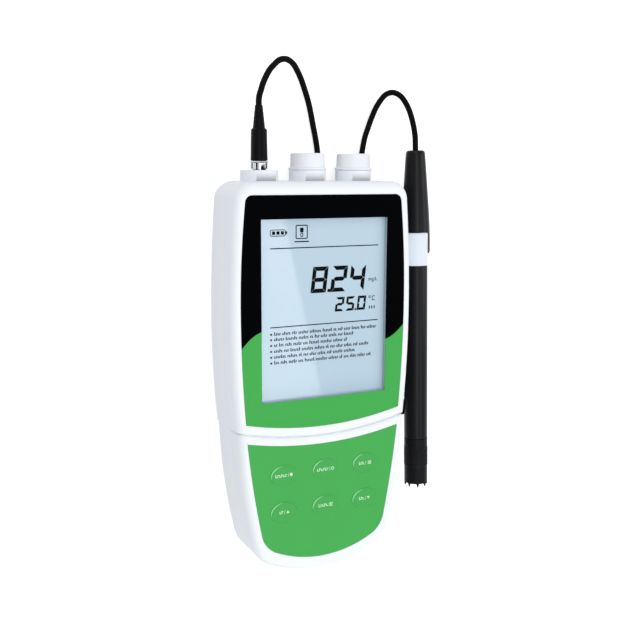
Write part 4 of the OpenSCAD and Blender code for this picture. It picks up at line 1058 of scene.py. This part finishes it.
for name, node, body, finish, slot_name in (
        ("rear_case_tub", "rear_case", "meter", case_white, "case_white"),
        ("battery_door_slide", "battery_door", "door", case_white, "case_white"),
        ("bayonet_sleeve_bright", "bayonet_sleeve", "sleeve", nickel, "nickel")):
    is_sleeve = node == "bayonet_sleeve"
    made = remade(name, node, finish, flatten=not is_sleeve)
    for k in range(1, 9 if is_sleeve else 1):
        slit = box_solid("slit", 3.05, 4, -slot_half, slot_half, 86, 92.3, [wall_shadow])
        turn = Matrix.Rotation(math.radians(-90 - slot_turn * k), 4, "Z")
        carve(made, [moved(slit, jack_axis @ turn)])
    change = made.modifiers.new("normals", "WEIGHTED_NORMAL")
    change.keep_sharp = True
    change.weight = 50 if is_sleeve else 100
    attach(made, body)
    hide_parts(node)

# Everything else keeps its solid: boards, chips, cells, springs, screws, gasket, sockets, the jack
# and the electrode's inside. Each finish goes into the slot that the solid's own material fills.


def cell_paint(wire):
    """A dark wrapper with a plain lighter band near one end."""
    y = wire.along("Y")
    return ((y + 28).step(-0.1, 0.1) - (y + 25).step(-0.1, 0.1)).mix(
        colour(38, 44, 70), colour(196, 170, 96))


def board_paint(wire):
    """Green lacquer with fine lighter tracks."""
    tracks = wire.node("ShaderNodeTexBrick", {}, {
        "Vector": wire.place(), "Scale": 420.0, "Mortar Size": 0.012}, "Fac")
    return tracks.mix(colour(24, 92, 52), colour(52, 128, 76))


finishes = {
    "case_white": case_white, "film_black": display_ink, "film_green": green_ink,
    "key_green": key_green, "clear_pane": pane_clear, "lcd": lcd_pale_painted_glow, "nickel": nickel,
    "cable_black": cable_black, "black_plastic": plug_rubber,
    "light_guide": material("light_guide", colour(226, 232, 236), 0.3, 0.6, 0.004, glow=0.1),
    "inner_plastic": material("inner_plastic", colour(206, 208, 210), 0.5, 0.3, 0.006),
    "board_green": material("board_green", board_paint, 0.35, 0.4, 0.004),
    "part_black": material("part_black", colour(32, 32, 35), 0.5, 0.3, 0.006),
    "ribbon_amber": material("ribbon_amber", colour(204, 142, 66), 0.35, 0.5, 0.003),
    "seal_black": material("seal_black", colour(26, 26, 28), 0.75, 0.3, 0.01),
    "screw_steel": material("screw_steel", colour(176, 178, 182), 0.28, 0.3, 0.003, metal=1.0),
    "brass_pin": material("brass_pin", colour(206, 176, 104), 0.25, 0.3, 0.002, metal=1.0),
    "cell_label": material("cell_label", cell_paint, 0.3, 0.5, 0.003),
    "contact_plate": material("contact_plate", colour(198, 186, 148), 0.3, 0.3, 0.003, metal=1.0),
    "insulator": material("insulator", colour(228, 222, 204), 0.4, 0.3, 0.004),
    "silver": material("silver", colour(196, 196, 198), 0.3, 0.2, 0.004, metal=1.0),
    "epoxy": material("epoxy", colour(214, 208, 190), 0.3, 0.6, 0.004),
    "membrane_film": material("membrane_film", colour(216, 220, 226), 0.15, 0.8, 0.002),
}
# The jack's shell is painted near-black, painted shade so that the sleeve's hole and slots look dark.
jack_painted_shade = material("jack_painted_shade", colour(26, 26, 29), 0.5, 0.3, 0.002, metal=0.6, gloss=0.2)
for node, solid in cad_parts.items():
    for place in solid.material_slots:
        place.material = jack_painted_shade if node == "jack_shell" else finishes[
            place.material.name.split(".")[0]]
